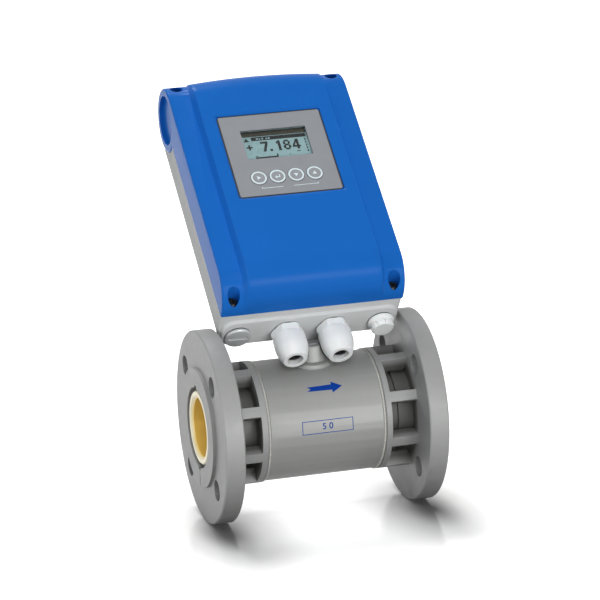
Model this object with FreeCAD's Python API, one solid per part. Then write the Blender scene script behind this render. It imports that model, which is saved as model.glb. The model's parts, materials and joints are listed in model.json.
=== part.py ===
import FreeCAD, Part
import math
import os

from FreeCAD import Matrix, Placement, Rotation, Vector

# Compact electromagnetic flow meter for a DN 50 pipe, millimetres.
# Frame: +X along the pipe in the direction of flow, +Z up, -Y towards the
# reader of the display. The origin is on the pipe axis at mid length.

# --- Pipe connection (EN 1092-1, DN 50, PN 40) --------------------------------
FACE_TO_FACE = 200.0      # overall length between the sealing faces
FLANGE_R = 82.5           # flange outside radius
FLANGE_T = 20.0           # flange thickness with its raised face
RAISED_FACE_R = 51.0
RAISED_FACE_H = 3.0
BOLT_CIRCLE_R = 62.5
BOLT_HOLE_R = 9.0
BOLT_COUNT = 4
RIM_CHAMFER = 1.0

# --- Measuring tube -----------------------------------------------------------
BORE_R = 25.0             # flow bore
TUBE_R = 31.5             # outside radius of the ceramic tube
TUBE_SET_BACK = 1.0       # tube end behind the sealing face
TUBE_MOUTH = 2.5          # conical lead-in at both ends of the bore
TUBE_SEAT_GAP = 0.1       # tube in the flange hubs

# --- Flange castings ----------------------------------------------------------
SEAL_POCKET_R = 34.5      # pocket round the tube end in the sealing face
SEAL_POCKET_DEPTH = 5.5
SEAL_LENGTH = 2.5
DRAIN_SLIT_W = 1.0        # slit across the sealing face under the pocket
DRAIN_SLIT_DEPTH = 0.8
TUBE_NOTCH_W = 7.0        # keying notches at the top and foot of the pocket
TUBE_NOTCH_H = 2.0
HUB_R = 36.0
HUB_LENGTH = 13.0
WAIST_R = 34.0
END_DISC_R = 52.0
END_DISC_T = 5.0
RIB_COUNT = 8
RIB_W = 9.0
RIB_INNER_R = 40.0
RIB_END_RADIUS = 4.0

# --- Sensor shell -------------------------------------------------------------
SHELL_R = 51.0
SHELL_WALL = 3.0
SHELL_HALF = 52.0         # half length of the shell between the end discs
WELD_W = 3.0
WELD_H = 0.8

# --- Magnet system ------------------------------------------------------------
POLE_GAP = 0.3            # pole shoe off the tube
POLE_T = 3.0
POLE_HALF_ANGLE = 55.0
POLE_HALF = 30.0
CORE_R = 11.0
COIL_INNER_R = 11.3
COIL_OUTER_R = 25.0
COIL_T = 6.5
YOKE_T = 1.5
YOKE_HALF = 32.0
YOKE_GAP = 0.3
ELECTRODE_R = 2.0
ELECTRODE_HEAD_R = 4.0
ELECTRODE_HEAD_T = 2.5

# --- Neck ---------------------------------------------------------------------
NECK_R = 20.0
NECK_BORE_R = 14.5
NECK_TOP_Z = 64.0
NECK_TOP_T = 6.0
NECK_COLLAR_R = 24.5
NECK_COLLAR_H = 3.0
NECK_GASKET_T = 1.0
CABLE_DUCT_R = 4.5
FOOT_Y = 9.5              # line of the foot screws and the cable duct
FOOT_SCREW_X = 10.5
FOOT_WEB_R = 14.0         # web of the foot between the two cable glands
GLAND_RELIEF = 0.8        # room round the glands in the foot and the neck
FOOT_SCREW_SEAT = 8.0     # head seat above the underside of the foot

# --- Converter housing, in its own frame --------------------------------------
# a runs across (+X), b up the slope, c out of the front. c = 0 is the joint
# between the rear housing and the front cover.
TILT_DEG = 48.5           # slope of the front from the vertical
HOUSING_Y = 65.5
HOUSING_Z = 174.9
HALF_W = 80.0
WALL = 3.5
END_R = 28.0              # round of the cover's foot and of its barrel
FOOT_B = -116.5           # lower end
BARREL_B = 98.5           # barrel axis
SIDE_C = 30.0             # front of the side bands
BACK_C = -38.0            # back of the rear housing
BACK_RADIUS = 7.0
PLAN_RADIUS = 5.0
DRAFT = 2.5               # how far each side leans in towards the back
EDGE_RADIUS = 1.8
BARREL_GAP = 0.3

# --- Front cover --------------------------------------------------------------
COVER_WALL = 3.0
PANEL_HALF_W = 58.5       # raised middle panel
PANEL_SLOPE_W = 3.0
PANEL_RISE = 7.0
PANEL_CROWN = 0.5
PANEL_TOP_BACK = 4.0      # how far the panel's top edge falls back at its sides
PANEL_TOP_BACK_MID = 1.2
BARREL_RECESS_R = 21.5
BARREL_RECESS_DEPTH = 3.5
BARREL_END_WALL = 2.0
NOTCH_COUNT = 4
NOTCH_STEP_DEG = 22.5
NOTCH_W = 3.6
NOTCH_DEPTH = 1.6
SCREW_A = 70.0
SCREW_B_LOW = -109.7
SCREW_B_TOP = 112.9
SCREW_WELL_R = 5.4
SCREW_SEAT_C = 7.0
SCREW_BOSS_R = 8.0
SCREW_HEAD_R = 4.3
SCREW_HEAD_H = 4.0
SCREW_R = 2.5
SCREW_CLEARANCE = 0.3
SCREW_LENGTH = 15.0
LUG_T = 10.0
LUG_GAP = 0.3

# --- Display ------------------------------------------------------------------
PLATE_W = 92.6
PLATE_H = 91.0
PLATE_B = 23.3            # middle of the plate
PLATE_T = 1.5
PLATE_TOP_C = 36.6
PLATE_GAP = 0.3
PLATE_CORNER_R = 1.5
PLATE_BEVEL = 2.5
PLATE_LEDGE = 5.0
WINDOW_W = 58.0
WINDOW_H = 32.0
WINDOW_B = 35.0
WINDOW_T = 1.2
WINDOW_GAP = 0.2
KEY_COUNT = 4
KEY_PITCH = 16.5
KEY_B = -2.0
KEY_R = 7.0
KEY_HOLE_GAP = 0.3
KEY_PROUD = 0.4
KEY_CAP_T = 2.2
KEY_FLANGE = 0.5
KEY_TRAVEL = 0.6
KEY_STEM_R = 2.0
SWITCH_W = 6.0
SWITCH_H = 3.2
SWITCH_BUTTON_R = 1.7
SWITCH_BUTTON_H = 0.8
BOARD_T = 1.6
DISPLAY_BOARD_C = 24.0    # underside of the display board
DISPLAY_BOARD_W = 82.0
DISPLAY_BOARD_H = 80.0
BOARD_SCREW_R = 1.5
BOARD_HEAD_R = 2.8
BOARD_HEAD_H = 2.0
LCD_W = 70.0
LCD_H = 44.0
LCD_FRAME = 4.0

# --- Electronics in the rear housing ------------------------------------------
MAIN_BOARD_W = 118.0
MAIN_BOARD_LOW = -84.0
MAIN_BOARD_TOP = 56.0
MAIN_BOARD_C = -22.0      # underside of the main board
POST_R = 4.0
TRANSFORMER = (44.0, 38.0, 26.0)
TRANSFORMER_B = 26.0
TERMINAL_WAYS = 10
TERMINAL_PITCH = 8.0
TERMINAL_D = 13.0
TERMINAL_H = 15.0
TERMINAL_B = -70.0
CAPACITOR_R = 7.0
CAPACITOR_H = 22.0
CAPACITOR_COUNT = 3

# --- Cable entries ------------------------------------------------------------
PAD_H = 3.0               # raised pad on the lower end that carries the entries
PAD_HALF_W = 77.0
PAD_FRONT_C = -7.0
PAD_RADIUS = 11.0
ENTRY_C = -24.5
GLAND_A = 20.0
PLUG_A = 63.0
THREAD_R = 10.0           # M20 entries
THREAD_GAP = 0.1
GLAND_HEX_AF = 25.0
GLAND_HEX_H = 7.0
GLAND_SHANK = 9.0
GLAND_NUT_R = 14.2
GLAND_NUT_H = 23.5
GLAND_MOUTH_R = 9.3
GLAND_BORE_R = 6.4
GLAND_SEAL_R = 9.0
PLUG_HEAD_R = 11.5
PLUG_HEAD_H = 2.5
PLUG_SLOT_W = 2.0
VENT_HEAD_R = 10.0
VENT_HEAD_H = 9.0
VENT_NOTCHES = 8
SEAL_RING_T = 1.0

PARTS = {}
X_AXIS = Vector(1, 0, 0)
Y_AXIS = Vector(0, 1, 0)
Z_AXIS = Vector(0, 0, 1)


# --- Small building functions -------------------------------------------------
def add(name, shape):
    """Keep a finished node under its name."""
    PARTS[name] = shape


def cylinder(r, start, axis, length):
    return Part.makeCylinder(r, length, start, axis)


def cyl_x(r, x0, x1):
    return cylinder(r, Vector(x0, 0, 0), X_AXIS, x1 - x0)


def box(a0, a1, b0, b1, c0, c1):
    return Part.makeBox(a1 - a0, b1 - b0, c1 - c0, Vector(a0, b0, c0))


def joined(shapes):
    """Fuse solids and merge the faces that the fuse leaves in line."""
    shape = shapes[0]
    if len(shapes) > 1:
        shape = shape.fuse(shapes[1:])
    return shape.removeSplitter()


def polygon_face(points):
    return Part.Face(Part.makePolygon(points + [points[0]]))


def turned(points):
    """Revolve an outline of (x, r) points about the pipe axis."""
    face = polygon_face([Vector(x, 0, r) for x, r in points])
    return face.revolve(Vector(0, 0, 0), X_AXIS, 360)


def turned_up(points):
    """Revolve an outline of (r, height) points about the vertical axis."""
    face = polygon_face([Vector(r, 0, z) for r, z in points])
    return face.revolve(Vector(0, 0, 0), Z_AXIS, 360)


def hexagon(across_flats, height):
    r = across_flats / math.sqrt(3)
    corners = [Vector(r * math.cos(math.radians(60 * i)), r * math.sin(math.radians(60 * i)), 0)
               for i in range(6)]
    return polygon_face(corners).extrude(Vector(0, 0, height))


def rounded_plate(width, height, radius, thickness):
    """Plate centred on the origin with rounded corners, its underside at zero."""
    w, h, r = width / 2, height / 2, radius
    k = r * (1 - math.cos(math.radians(45)))
    edges = []
    for sx, sy, flip in ((1, 1, False), (-1, 1, True), (-1, -1, False), (1, -1, True)):
        p = Vector(sx * w, sy * (h - r), 0)
        q = Vector(sx * (w - r), sy * h, 0)
        m = Vector(sx * (w - k), sy * (h - k), 0)
        edges.append((q, m, p) if flip else (p, m, q))
    curves = []
    for i, (start, mid, end) in enumerate(edges):
        curves.append(Part.Arc(start, mid, end).toShape())
        curves.append(Part.LineSegment(end, edges[(i + 1) % 4][0]).toShape())
    return Part.Face(Part.Wire(curves)).extrude(Vector(0, 0, thickness))


def housing_placement():
    """Place of the converter's own frame in the meter."""
    turn = Rotation(X_AXIS, 90 - TILT_DEG)
    return Placement(Vector(0, HOUSING_Y, HOUSING_Z), turn)


def to_meter(shape):
    """Move a solid from the converter's frame to the meter's frame."""
    moved = shape.copy()
    moved.Placement = housing_placement().multiply(moved.Placement)
    return moved


def to_converter(shape):
    """Move a solid from the meter's frame to the converter's frame."""
    moved = shape.copy()
    moved.Placement = housing_placement().inverse().multiply(moved.Placement)
    return moved


def at(shape, a, b, c):
    moved = shape.copy()
    moved.translate(Vector(a, b, c))
    return moved


def entry(shape, a):
    """Stand a solid modelled along +Z on the lower end, at entry place a."""
    moved = shape.copy()
    moved.rotate(Vector(0, 0, 0), X_AXIS, 90)
    moved.translate(Vector(a, FOOT_B - PAD_H, ENTRY_C))
    return moved


# --- Sensor -------------------------------------------------------------------
def flange_casting():
    """Flange, hub, end disc and cage ribs, cast as one, for the outlet side."""
    face_x = FACE_TO_FACE / 2
    back_x = face_x - FLANGE_T
    rim_x = face_x - RAISED_FACE_H
    disc_x = SHELL_HALF
    seat_r = TUBE_R + TUBE_SEAT_GAP
    outline = [
        (disc_x, seat_r), (disc_x, END_DISC_R), (disc_x + END_DISC_T, END_DISC_R),
        (disc_x + END_DISC_T, WAIST_R), (back_x - HUB_LENGTH, WAIST_R),
        (back_x - HUB_LENGTH, HUB_R), (back_x, HUB_R),
        (back_x, FLANGE_R - RIM_CHAMFER), (back_x + RIM_CHAMFER, FLANGE_R),
        (rim_x - RIM_CHAMFER, FLANGE_R), (rim_x, FLANGE_R - RIM_CHAMFER),
        (rim_x, RAISED_FACE_R), (face_x, RAISED_FACE_R),
        (face_x, SEAL_POCKET_R), (face_x - SEAL_POCKET_DEPTH, SEAL_POCKET_R),
        (face_x - SEAL_POCKET_DEPTH, seat_r),
    ]
    casting = turned(outline)
    casting = joined([casting] + cage_ribs(disc_x + END_DISC_T, back_x))
    for i in range(BOLT_COUNT):
        angle = math.radians(360.0 / BOLT_COUNT * (i + 0.5))
        centre = Vector(back_x - 1, BOLT_CIRCLE_R * math.cos(angle), BOLT_CIRCLE_R * math.sin(angle))
        casting = casting.cut(cylinder(BOLT_HOLE_R, centre, X_AXIS, FLANGE_T + 2))
    slit = Part.makeBox(DRAIN_SLIT_DEPTH, DRAIN_SLIT_W, RAISED_FACE_R - SEAL_POCKET_R + 2,
                        Vector(face_x - DRAIN_SLIT_DEPTH, -DRAIN_SLIT_W / 2, -RAISED_FACE_R - 1))
    notch_span = 2 * (SEAL_POCKET_R + TUBE_NOTCH_H)
    notches = Part.makeBox(SEAL_POCKET_DEPTH, TUBE_NOTCH_W, notch_span,
                           Vector(face_x - SEAL_POCKET_DEPTH, -TUBE_NOTCH_W / 2, -notch_span / 2))
    return casting.cut([slit, notches])


def cage_ribs(x0, x1):
    """Bars of the open cage between the end disc and the flange."""
    r = RIB_END_RADIUS
    mid = r * (1 - math.sin(math.radians(45)))
    points = [Vector(x0 - 1, 0, RIB_INNER_R), Vector(x1 - r, 0, RIB_INNER_R),
              Vector(x1 - mid, 0, RIB_INNER_R + mid), Vector(x1, 0, RIB_INNER_R + r),
              Vector(x1 + 1, 0, RIB_INNER_R + r), Vector(x1 + 1, 0, END_DISC_R),
              Vector(x0 - 1, 0, END_DISC_R)]
    edges = [Part.LineSegment(points[0], points[1]).toShape(),
             Part.Arc(points[1], points[2], points[3]).toShape(),
             Part.LineSegment(points[3], points[4]).toShape(),
             Part.LineSegment(points[4], points[5]).toShape(),
             Part.LineSegment(points[5], points[6]).toShape(),
             Part.LineSegment(points[6], points[0]).toShape()]
    bar = Part.Face(Part.Wire(edges)).extrude(Vector(0, RIB_W, 0))
    bar.translate(Vector(0, -RIB_W / 2, 0))
    # The bar's outer face follows the end disc.
    bar = bar.common(cyl_x(END_DISC_R, x0 - 1, x1 + 1))
    ribs = []
    for i in range(RIB_COUNT):
        rib = bar.copy()
        rib.rotate(Vector(0, 0, 0), X_AXIS, 360.0 / RIB_COUNT * (i + 0.5))
        ribs.append(rib)
    return ribs


def sensor_shell():
    """Tube between the end discs, with its two weld beads and the neck hole."""
    inner = SHELL_R - SHELL_WALL
    crown = SHELL_R + WELD_H
    end = SHELL_HALF
    outline = [
        (-end, inner), (-end, crown - WELD_H / 2), (-end + WELD_W / 3, crown),
        (-end + 2 * WELD_W / 3, crown), (-end + WELD_W, SHELL_R),
        (end - WELD_W, SHELL_R), (end - 2 * WELD_W / 3, crown),
        (end - WELD_W / 3, crown), (end, crown - WELD_H / 2), (end, inner),
    ]
    return turned(outline).cut(cylinder(NECK_BORE_R, Vector(0, 0, 0), Z_AXIS, SHELL_R + 2))


def measuring_tube():
    """Ceramic tube with a conical mouth at both ends and two electrode holes."""
    end = FACE_TO_FACE / 2 - TUBE_SET_BACK
    outline = [
        (-end, BORE_R + TUBE_MOUTH), (-end, TUBE_R - 1), (-end + 1, TUBE_R),
        (end - 1, TUBE_R), (end, TUBE_R - 1), (end, BORE_R + TUBE_MOUTH),
        (end - TUBE_MOUTH, BORE_R), (-end + TUBE_MOUTH, BORE_R),
    ]
    hole = cylinder(ELECTRODE_R, Vector(0, -TUBE_R - 1, 0), Y_AXIS, 2 * TUBE_R + 2)
    return turned(outline).cut(hole)


def seal_ring():
    """Seal that fills the floor of the pocket round the tube, outlet side."""
    x0 = FACE_TO_FACE / 2 - SEAL_POCKET_DEPTH
    x1 = x0 + SEAL_LENGTH
    return cyl_x(SEAL_POCKET_R, x0, x1).cut(cyl_x(TUBE_R, x0, x1))


def arc_plate(r0, r1, half_angle, half_length):
    """Part of a ring about the pipe axis, centred on the top."""
    ring = cyl_x(r1, -half_length, half_length).cut(cyl_x(r0, -half_length, half_length))
    reach = 2 * r1
    edge = math.radians(half_angle)
    wedge = polygon_face([Vector(-half_length, 0, 0),
                          Vector(-half_length, reach * math.sin(edge), reach * math.cos(edge)),
                          Vector(-half_length, 0, reach / math.cos(edge)),
                          Vector(-half_length, -reach * math.sin(edge), reach * math.cos(edge))])
    return ring.common(wedge.extrude(Vector(2 * half_length, 0, 0)))


def pole_shoe():
    """Curved pole shoe with the core that carries the coil."""
    r0 = TUBE_R + POLE_GAP
    r1 = r0 + POLE_T
    shoe = arc_plate(r0, r1, POLE_HALF_ANGLE, POLE_HALF)
    core = cylinder(CORE_R, Vector(0, 0, r0 + 1), Z_AXIS, yoke_inner_r() - r0 - 1)
    core = core.common(cyl_x(yoke_inner_r() - YOKE_GAP, -CORE_R, CORE_R))
    return joined([shoe, core.cut(cyl_x(r0 + 0.5, -CORE_R, CORE_R))])


def yoke_inner_r():
    return SHELL_R - SHELL_WALL - YOKE_GAP - YOKE_T


def field_coil():
    """Wound coil on the core, between the pole shoe and the yoke."""
    z0 = TUBE_R + POLE_GAP + POLE_T + YOKE_GAP
    winding = cylinder(COIL_OUTER_R, Vector(0, 0, 0), Z_AXIS, SHELL_R)
    winding = winding.cut(cylinder(COIL_INNER_R, Vector(0, 0, 0), Z_AXIS, SHELL_R))
    shell = cyl_x(z0 + COIL_T, -SHELL_R, SHELL_R).cut(cyl_x(z0, -SHELL_R, SHELL_R))
    return winding.common(shell)


def magnet_yoke():
    """Sheet ring that closes the magnetic circuit and rests in the shell."""
    r0 = yoke_inner_r()
    ring = cyl_x(r0 + YOKE_T, -YOKE_HALF, YOKE_HALF).cut(cyl_x(r0, -YOKE_HALF, YOKE_HALF))
    return ring.cut(cylinder(CABLE_DUCT_R, Vector(0, FOOT_Y, 0), Z_AXIS, SHELL_R))


def electrode():
    """Pin through the front wall of the tube with its contact head."""
    pin = cylinder(ELECTRODE_R, Vector(0, -BORE_R, 0), -Y_AXIS, TUBE_R - BORE_R + 1)
    pin = pin.cut(cyl_x(BORE_R, -ELECTRODE_R - 1, ELECTRODE_R + 1))
    head = cylinder(ELECTRODE_HEAD_R, Vector(0, -TUBE_R - POLE_GAP / 2, 0), -Y_AXIS, ELECTRODE_HEAD_T)
    return joined([pin, head])


def half_turned(shape):
    """Copy on the other side of the pipe axis."""
    other = shape.copy()
    other.rotate(Vector(0, 0, 0), X_AXIS, 180)
    return other


def build_sensor():
    casting = flange_casting()
    other = casting.copy()
    other.rotate(Vector(0, 0, 0), Z_AXIS, 180)
    add("inlet_flange", other)
    add("outlet_flange", casting)
    add("sensor_shell", sensor_shell())
    add("measuring_tube", measuring_tube())
    ring = seal_ring()
    add("outlet_seal_ring", ring)
    other = ring.copy()
    other.rotate(Vector(0, 0, 0), Z_AXIS, 180)
    add("inlet_seal_ring", other)
    shoe = pole_shoe()
    add("upper_pole_shoe", shoe)
    add("lower_pole_shoe", half_turned(shoe))
    coil = field_coil()
    add("upper_field_coil", coil)
    add("lower_field_coil", half_turned(coil))
    add("magnet_yoke", magnet_yoke())
    pin = electrode()
    add("front_electrode", pin)
    add("rear_electrode", half_turned(pin))


# --- Neck ---------------------------------------------------------------------
def neck():
    """Welded neck with its saddle collar, closed by a flat top plate."""
    outline = [(NECK_BORE_R, 0), (NECK_R, 0), (NECK_R, NECK_TOP_Z - 1), (NECK_R - 1, NECK_TOP_Z),
               (0, NECK_TOP_Z), (0, NECK_TOP_Z - NECK_TOP_T), (NECK_BORE_R, NECK_TOP_Z - NECK_TOP_T)]
    tube = turned_up(outline)
    collar_shell = cyl_x(SHELL_R + NECK_COLLAR_H, -NECK_COLLAR_R, NECK_COLLAR_R)
    collar = cylinder(NECK_COLLAR_R, Vector(0, 0, 0), Z_AXIS, 2 * SHELL_R)
    collar = collar.cut(cylinder(NECK_BORE_R, Vector(0, 0, 0), Z_AXIS, 2 * SHELL_R))
    shape = joined([tube, collar.common(collar_shell)])
    shape = shape.cut(cyl_x(SHELL_R, -2 * NECK_COLLAR_R, 2 * NECK_COLLAR_R))
    duct = cylinder(CABLE_DUCT_R, Vector(0, FOOT_Y, NECK_TOP_Z - NECK_TOP_T - 1), Z_AXIS, NECK_TOP_T + 2)
    cuts = [duct] + gland_rooms()
    for x in (-FOOT_SCREW_X, FOOT_SCREW_X):
        cuts.append(cylinder(SCREW_R, Vector(x, FOOT_Y, NECK_TOP_Z - NECK_TOP_T), Z_AXIS, NECK_TOP_T + 1))
    return shape.cut(cuts)


def gland_rooms():
    """Room that the two glands take below the entry pad, in the meter's frame."""
    r = max(GLAND_NUT_R, GLAND_HEX_AF / math.sqrt(3)) + GLAND_RELIEF
    reach = SEAL_RING_T + GLAND_HEX_H + GLAND_NUT_H + GLAND_RELIEF
    room = cylinder(r, Vector(0, 0, 0), Z_AXIS, reach)
    return [to_meter(entry(room, a)) for a in (-GLAND_A, GLAND_A)]


def foot_column(z0, z1):
    """Foot over the neck: full behind the plane of the entries, a web between the glands."""
    column = cylinder(NECK_R, Vector(0, 0, z0), Z_AXIS, z1 - z0)
    reach = 10 * NECK_R
    ahead = box(-2 * NECK_R, 2 * NECK_R, FOOT_B - PAD_H - reach, FOOT_B - PAD_H, -reach, reach)
    web = cylinder(FOOT_WEB_R, Vector(0, 0, z0), Z_AXIS, z1 - z0)
    return joined([column.cut(to_meter(ahead)), web]).cut(gland_rooms())


def foot_holes(z0, z1):
    """Clearance holes of the foot: two screws and the cable duct."""
    holes = [cylinder(CABLE_DUCT_R, Vector(0, FOOT_Y, z0), Z_AXIS, z1 - z0)]
    for x in (-FOOT_SCREW_X, FOOT_SCREW_X):
        holes.append(cylinder(SCREW_R + SCREW_CLEARANCE, Vector(x, FOOT_Y, z0), Z_AXIS, z1 - z0))
    return holes


def neck_gasket():
    z0 = NECK_TOP_Z
    z1 = z0 + NECK_GASKET_T
    sheet = foot_column(z0, z1)
    sheet = sheet.common(cylinder(NECK_R - 1, Vector(0, 0, z0), Z_AXIS, NECK_GASKET_T))
    return sheet.cut(foot_holes(z0 - 1, z1 + 1))


def neck_screws():
    """Two cap screws that hold the foot on the neck."""
    seat = NECK_TOP_Z + NECK_GASKET_T + FOOT_SCREW_SEAT
    screws = []
    for x in (-FOOT_SCREW_X, FOOT_SCREW_X):
        head = cylinder(SCREW_HEAD_R, Vector(x, FOOT_Y, seat), Z_AXIS, SCREW_HEAD_H)
        low = NECK_TOP_Z - NECK_TOP_T
        shank = cylinder(SCREW_R, Vector(x, FOOT_Y, low), Z_AXIS, seat - low)
        socket = at(hexagon(4.0, SCREW_HEAD_H / 2), x, FOOT_Y, seat + SCREW_HEAD_H / 2)
        screws.append(joined([head, shank]).cut(socket))
    return Part.makeCompound(screws)


# --- Rear housing -------------------------------------------------------------
def barrel_point(r, degrees):
    """Point on a circle about the barrel axis, as (b, c)."""
    angle = math.radians(degrees)
    return BARREL_B + r * math.cos(angle), barrel_c() + r * math.sin(angle)


def barrel_c():
    return SIDE_C - END_R


def circle_edge(r, start, end, a):
    """Arc about the barrel axis from one angle to another."""
    points = [Vector(a, *barrel_point(r, angle)) for angle in (start, (start + end) / 2, end)]
    return Part.Arc(*points).toShape()


def side_face(curves):
    return Part.Face(Part.Wire(curves))


def line(a, p, q):
    return Part.LineSegment(Vector(a, *p), Vector(a, *q)).toShape()


def rear_outline(inset, half_width, top_c):
    """Side outline of the rear housing, moved in by the inset, as a solid."""
    a = -half_width
    low = FOOT_B + inset
    back = BACK_C + inset
    saddle_r = END_R + BARREL_GAP + inset
    radius = BACK_RADIUS - inset / 2
    k = radius * (1 - math.cos(math.radians(45)))
    joint_angle = 180 + math.degrees(math.asin((barrel_c() - top_c) / saddle_r))
    lip_angle = 258.0
    lip = barrel_point(saddle_r, lip_angle)
    turn_b = lip[0] - radius
    start = barrel_point(saddle_r, joint_angle)
    curves = [
        line(a, (low, top_c), (low, back + radius)),
        Part.Arc(Vector(a, low, back + radius), Vector(a, low + k, back + k),
                 Vector(a, low + radius, back)).toShape(),
        line(a, (low + radius, back), (turn_b, back)),
        Part.Arc(Vector(a, turn_b, back), Vector(a, lip[0] - k, back + k),
                 Vector(a, lip[0], back + radius)).toShape(),
        line(a, (lip[0], back + radius), lip),
        circle_edge(saddle_r, lip_angle, joint_angle, a),
        line(a, start, (low, top_c)),
    ]
    return side_face(curves).extrude(Vector(2 * half_width, 0, 0))


def drafted_block(inset):
    """Block whose sides lean in towards the back and whose back corners are round."""
    w = HALF_W - inset
    deep = BACK_C + inset
    lean = DRAFT
    r = BACK_RADIUS - inset / 2
    k = r * (1 - math.cos(math.radians(45)))
    b0 = FOOT_B - 10
    points = [Vector(-w, b0, 40), Vector(-w, b0, 0), Vector(-w + lean, b0, deep + r),
              Vector(-w + lean + k, b0, deep + k), Vector(-w + lean + r, b0, deep)]
    left = [Part.LineSegment(points[0], points[1]).toShape(),
            Part.LineSegment(points[1], points[2]).toShape(),
            Part.Arc(points[2], points[3], points[4]).toShape()]
    mirror = [Vector(-p.x, p.y, p.z) for p in points]
    right = [Part.LineSegment(points[4], mirror[4]).toShape(),
             Part.Arc(mirror[4], mirror[3], mirror[2]).toShape(),
             Part.LineSegment(mirror[2], mirror[1]).toShape(),
             Part.LineSegment(mirror[1], mirror[0]).toShape(),
             Part.LineSegment(mirror[0], points[0]).toShape()]
    return side_face(left + right).extrude(Vector(0, 260, 0))


def rounded_plan(radius, inset, top_b, c0, c1):
    """Plan of the housing with rounded corners, from its lower end to top_b."""
    length = top_b - FOOT_B - 2 * inset
    plate = rounded_plate(2 * (HALF_W - inset), length, radius, c1 - c0)
    return at(plate, 0, FOOT_B + inset + length / 2, c0)


def entry_pad():
    """Raised pad on the lower end with rounded corners and a soft front edge."""
    depth = PAD_FRONT_C - BACK_C
    inner = FOOT_B + WALL
    outline = rounded_plate(2 * PAD_HALF_W, depth, PAD_RADIUS, inner - (FOOT_B - PAD_H))
    outline.rotate(Vector(0, 0, 0), X_AXIS, 90)
    pad = at(outline, 0, inner, (PAD_FRONT_C + BACK_C) / 2)
    rim = [edge for edge in pad.Edges if edge.BoundBox.YMax < FOOT_B - PAD_H + 0.01]
    return pad.makeFillet(PAD_H * 0.6, rim)


def entry_places():
    return (-PLUG_A, -GLAND_A, GLAND_A, PLUG_A)


def seal_loop(width, depth):
    """Loop of the housing seal, in the middle of the rear housing's rim."""
    inset = (WALL - width) / 2
    top_b = barrel_point(END_R + BARREL_GAP, 184)[0]
    length = top_b - FOOT_B - 2 * inset
    mid = FOOT_B + inset + length / 2
    outer = rounded_plate(2 * (HALF_W - inset), length, PLAN_RADIUS - inset, depth)
    inner = rounded_plate(2 * (HALF_W - inset - width), length - 2 * width,
                          PLAN_RADIUS - inset - width, depth)
    return at(outer.cut(inner), 0, mid, -depth)


def screw_lugs():
    """Two lugs that reach into the barrel and take the upper cover screws."""
    lugs = []
    reach = SCREW_B_TOP + 2 * SCREW_R
    root = BARREL_B - END_R - WALL - BARREL_GAP
    outer = HALF_W - BARREL_RECESS_DEPTH - BARREL_END_WALL - LUG_GAP
    inner = 2 * SCREW_A - outer - 1
    for side in (-1, 1):
        a0, a1 = sorted((side * inner, side * outer))
        lugs.append(box(a0, a1, root, reach, -LUG_T, 0))
    return lugs


def board_posts():
    """Posts on the back wall for the main board."""
    posts = []
    for a, b in board_screw_places():
        posts.append(cylinder(POST_R, Vector(a, b, BACK_C + WALL / 2), Z_AXIS,
                              MAIN_BOARD_C - BACK_C - WALL / 2))
    return posts


def board_screw_places():
    edge = 6.0
    return [(side * (MAIN_BOARD_W / 2 - edge), b)
            for side in (-1, 1) for b in (MAIN_BOARD_LOW + edge, MAIN_BOARD_TOP - edge)]


def rear_housing():
    """Die-cast rear housing with its entry pad, posts, lugs and foot."""
    plan = rounded_plan(PLAN_RADIUS, 0, BARREL_B + END_R, BACK_C - 1, 1)
    body = rear_outline(0, HALF_W, 0).common(plan).common(drafted_block(0))
    cavity = rear_outline(WALL, HALF_W - WALL, 1).common(drafted_block(WALL))
    cavity = cavity.common(rounded_plan(PLAN_RADIUS - WALL / 2, WALL, BARREL_B + END_R, BACK_C, 2))
    z0 = NECK_TOP_Z + NECK_GASKET_T
    foot = to_converter(foot_column(z0, z0 + 40))
    foot = foot.common(box(-HALF_W, HALF_W, FOOT_B - PAD_H, BARREL_B, -200, BACK_C + BACK_RADIUS + WALL))
    body = joined([body, entry_pad(), foot]).cut(cavity)
    body = joined([body] + board_posts() + cover_posts() + screw_lugs())
    cuts = [to_converter(hole) for hole in foot_holes(z0 - 1, z0 + 45)]
    seat = z0 + FOOT_SCREW_SEAT
    for x in (-FOOT_SCREW_X, FOOT_SCREW_X):
        cuts.append(to_converter(cylinder(SCREW_HEAD_R + SCREW_CLEARANCE, Vector(x, FOOT_Y, seat),
                                          Z_AXIS, 30)))
    for a in entry_places():
        cuts.append(entry(cylinder(THREAD_R, Vector(0, 0, -20), Z_AXIS, 40), a))
    for a, b in board_screw_places():
        cuts.append(cylinder(BOARD_SCREW_R, Vector(a, b, MAIN_BOARD_C - 8), Z_AXIS, 9))
    for a, b in cover_screw_places():
        cuts.append(cylinder(SCREW_R, Vector(a, b, SCREW_SEAT_C - SCREW_LENGTH - 0.5), Z_AXIS,
                             SCREW_LENGTH))
    cuts.append(seal_loop(1.6, 1.2))
    return body.cut(cuts)


def cover_posts():
    """Posts in the lower corners that take the lower cover screws."""
    posts = []
    for a, b in cover_screw_places():
        if b < 0:
            posts.append(cylinder(SCREW_BOSS_R - 1, Vector(a, b, BACK_C + WALL / 2), Z_AXIS,
                                  -BACK_C - WALL / 2).common(rounded_plan(PLAN_RADIUS, 0.5, BARREL_B,
                                                                          BACK_C, 0)))
    return posts


def cover_screw_places():
    return [(side * SCREW_A, b) for side in (-1, 1) for b in (SCREW_B_LOW, SCREW_B_TOP)]


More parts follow.
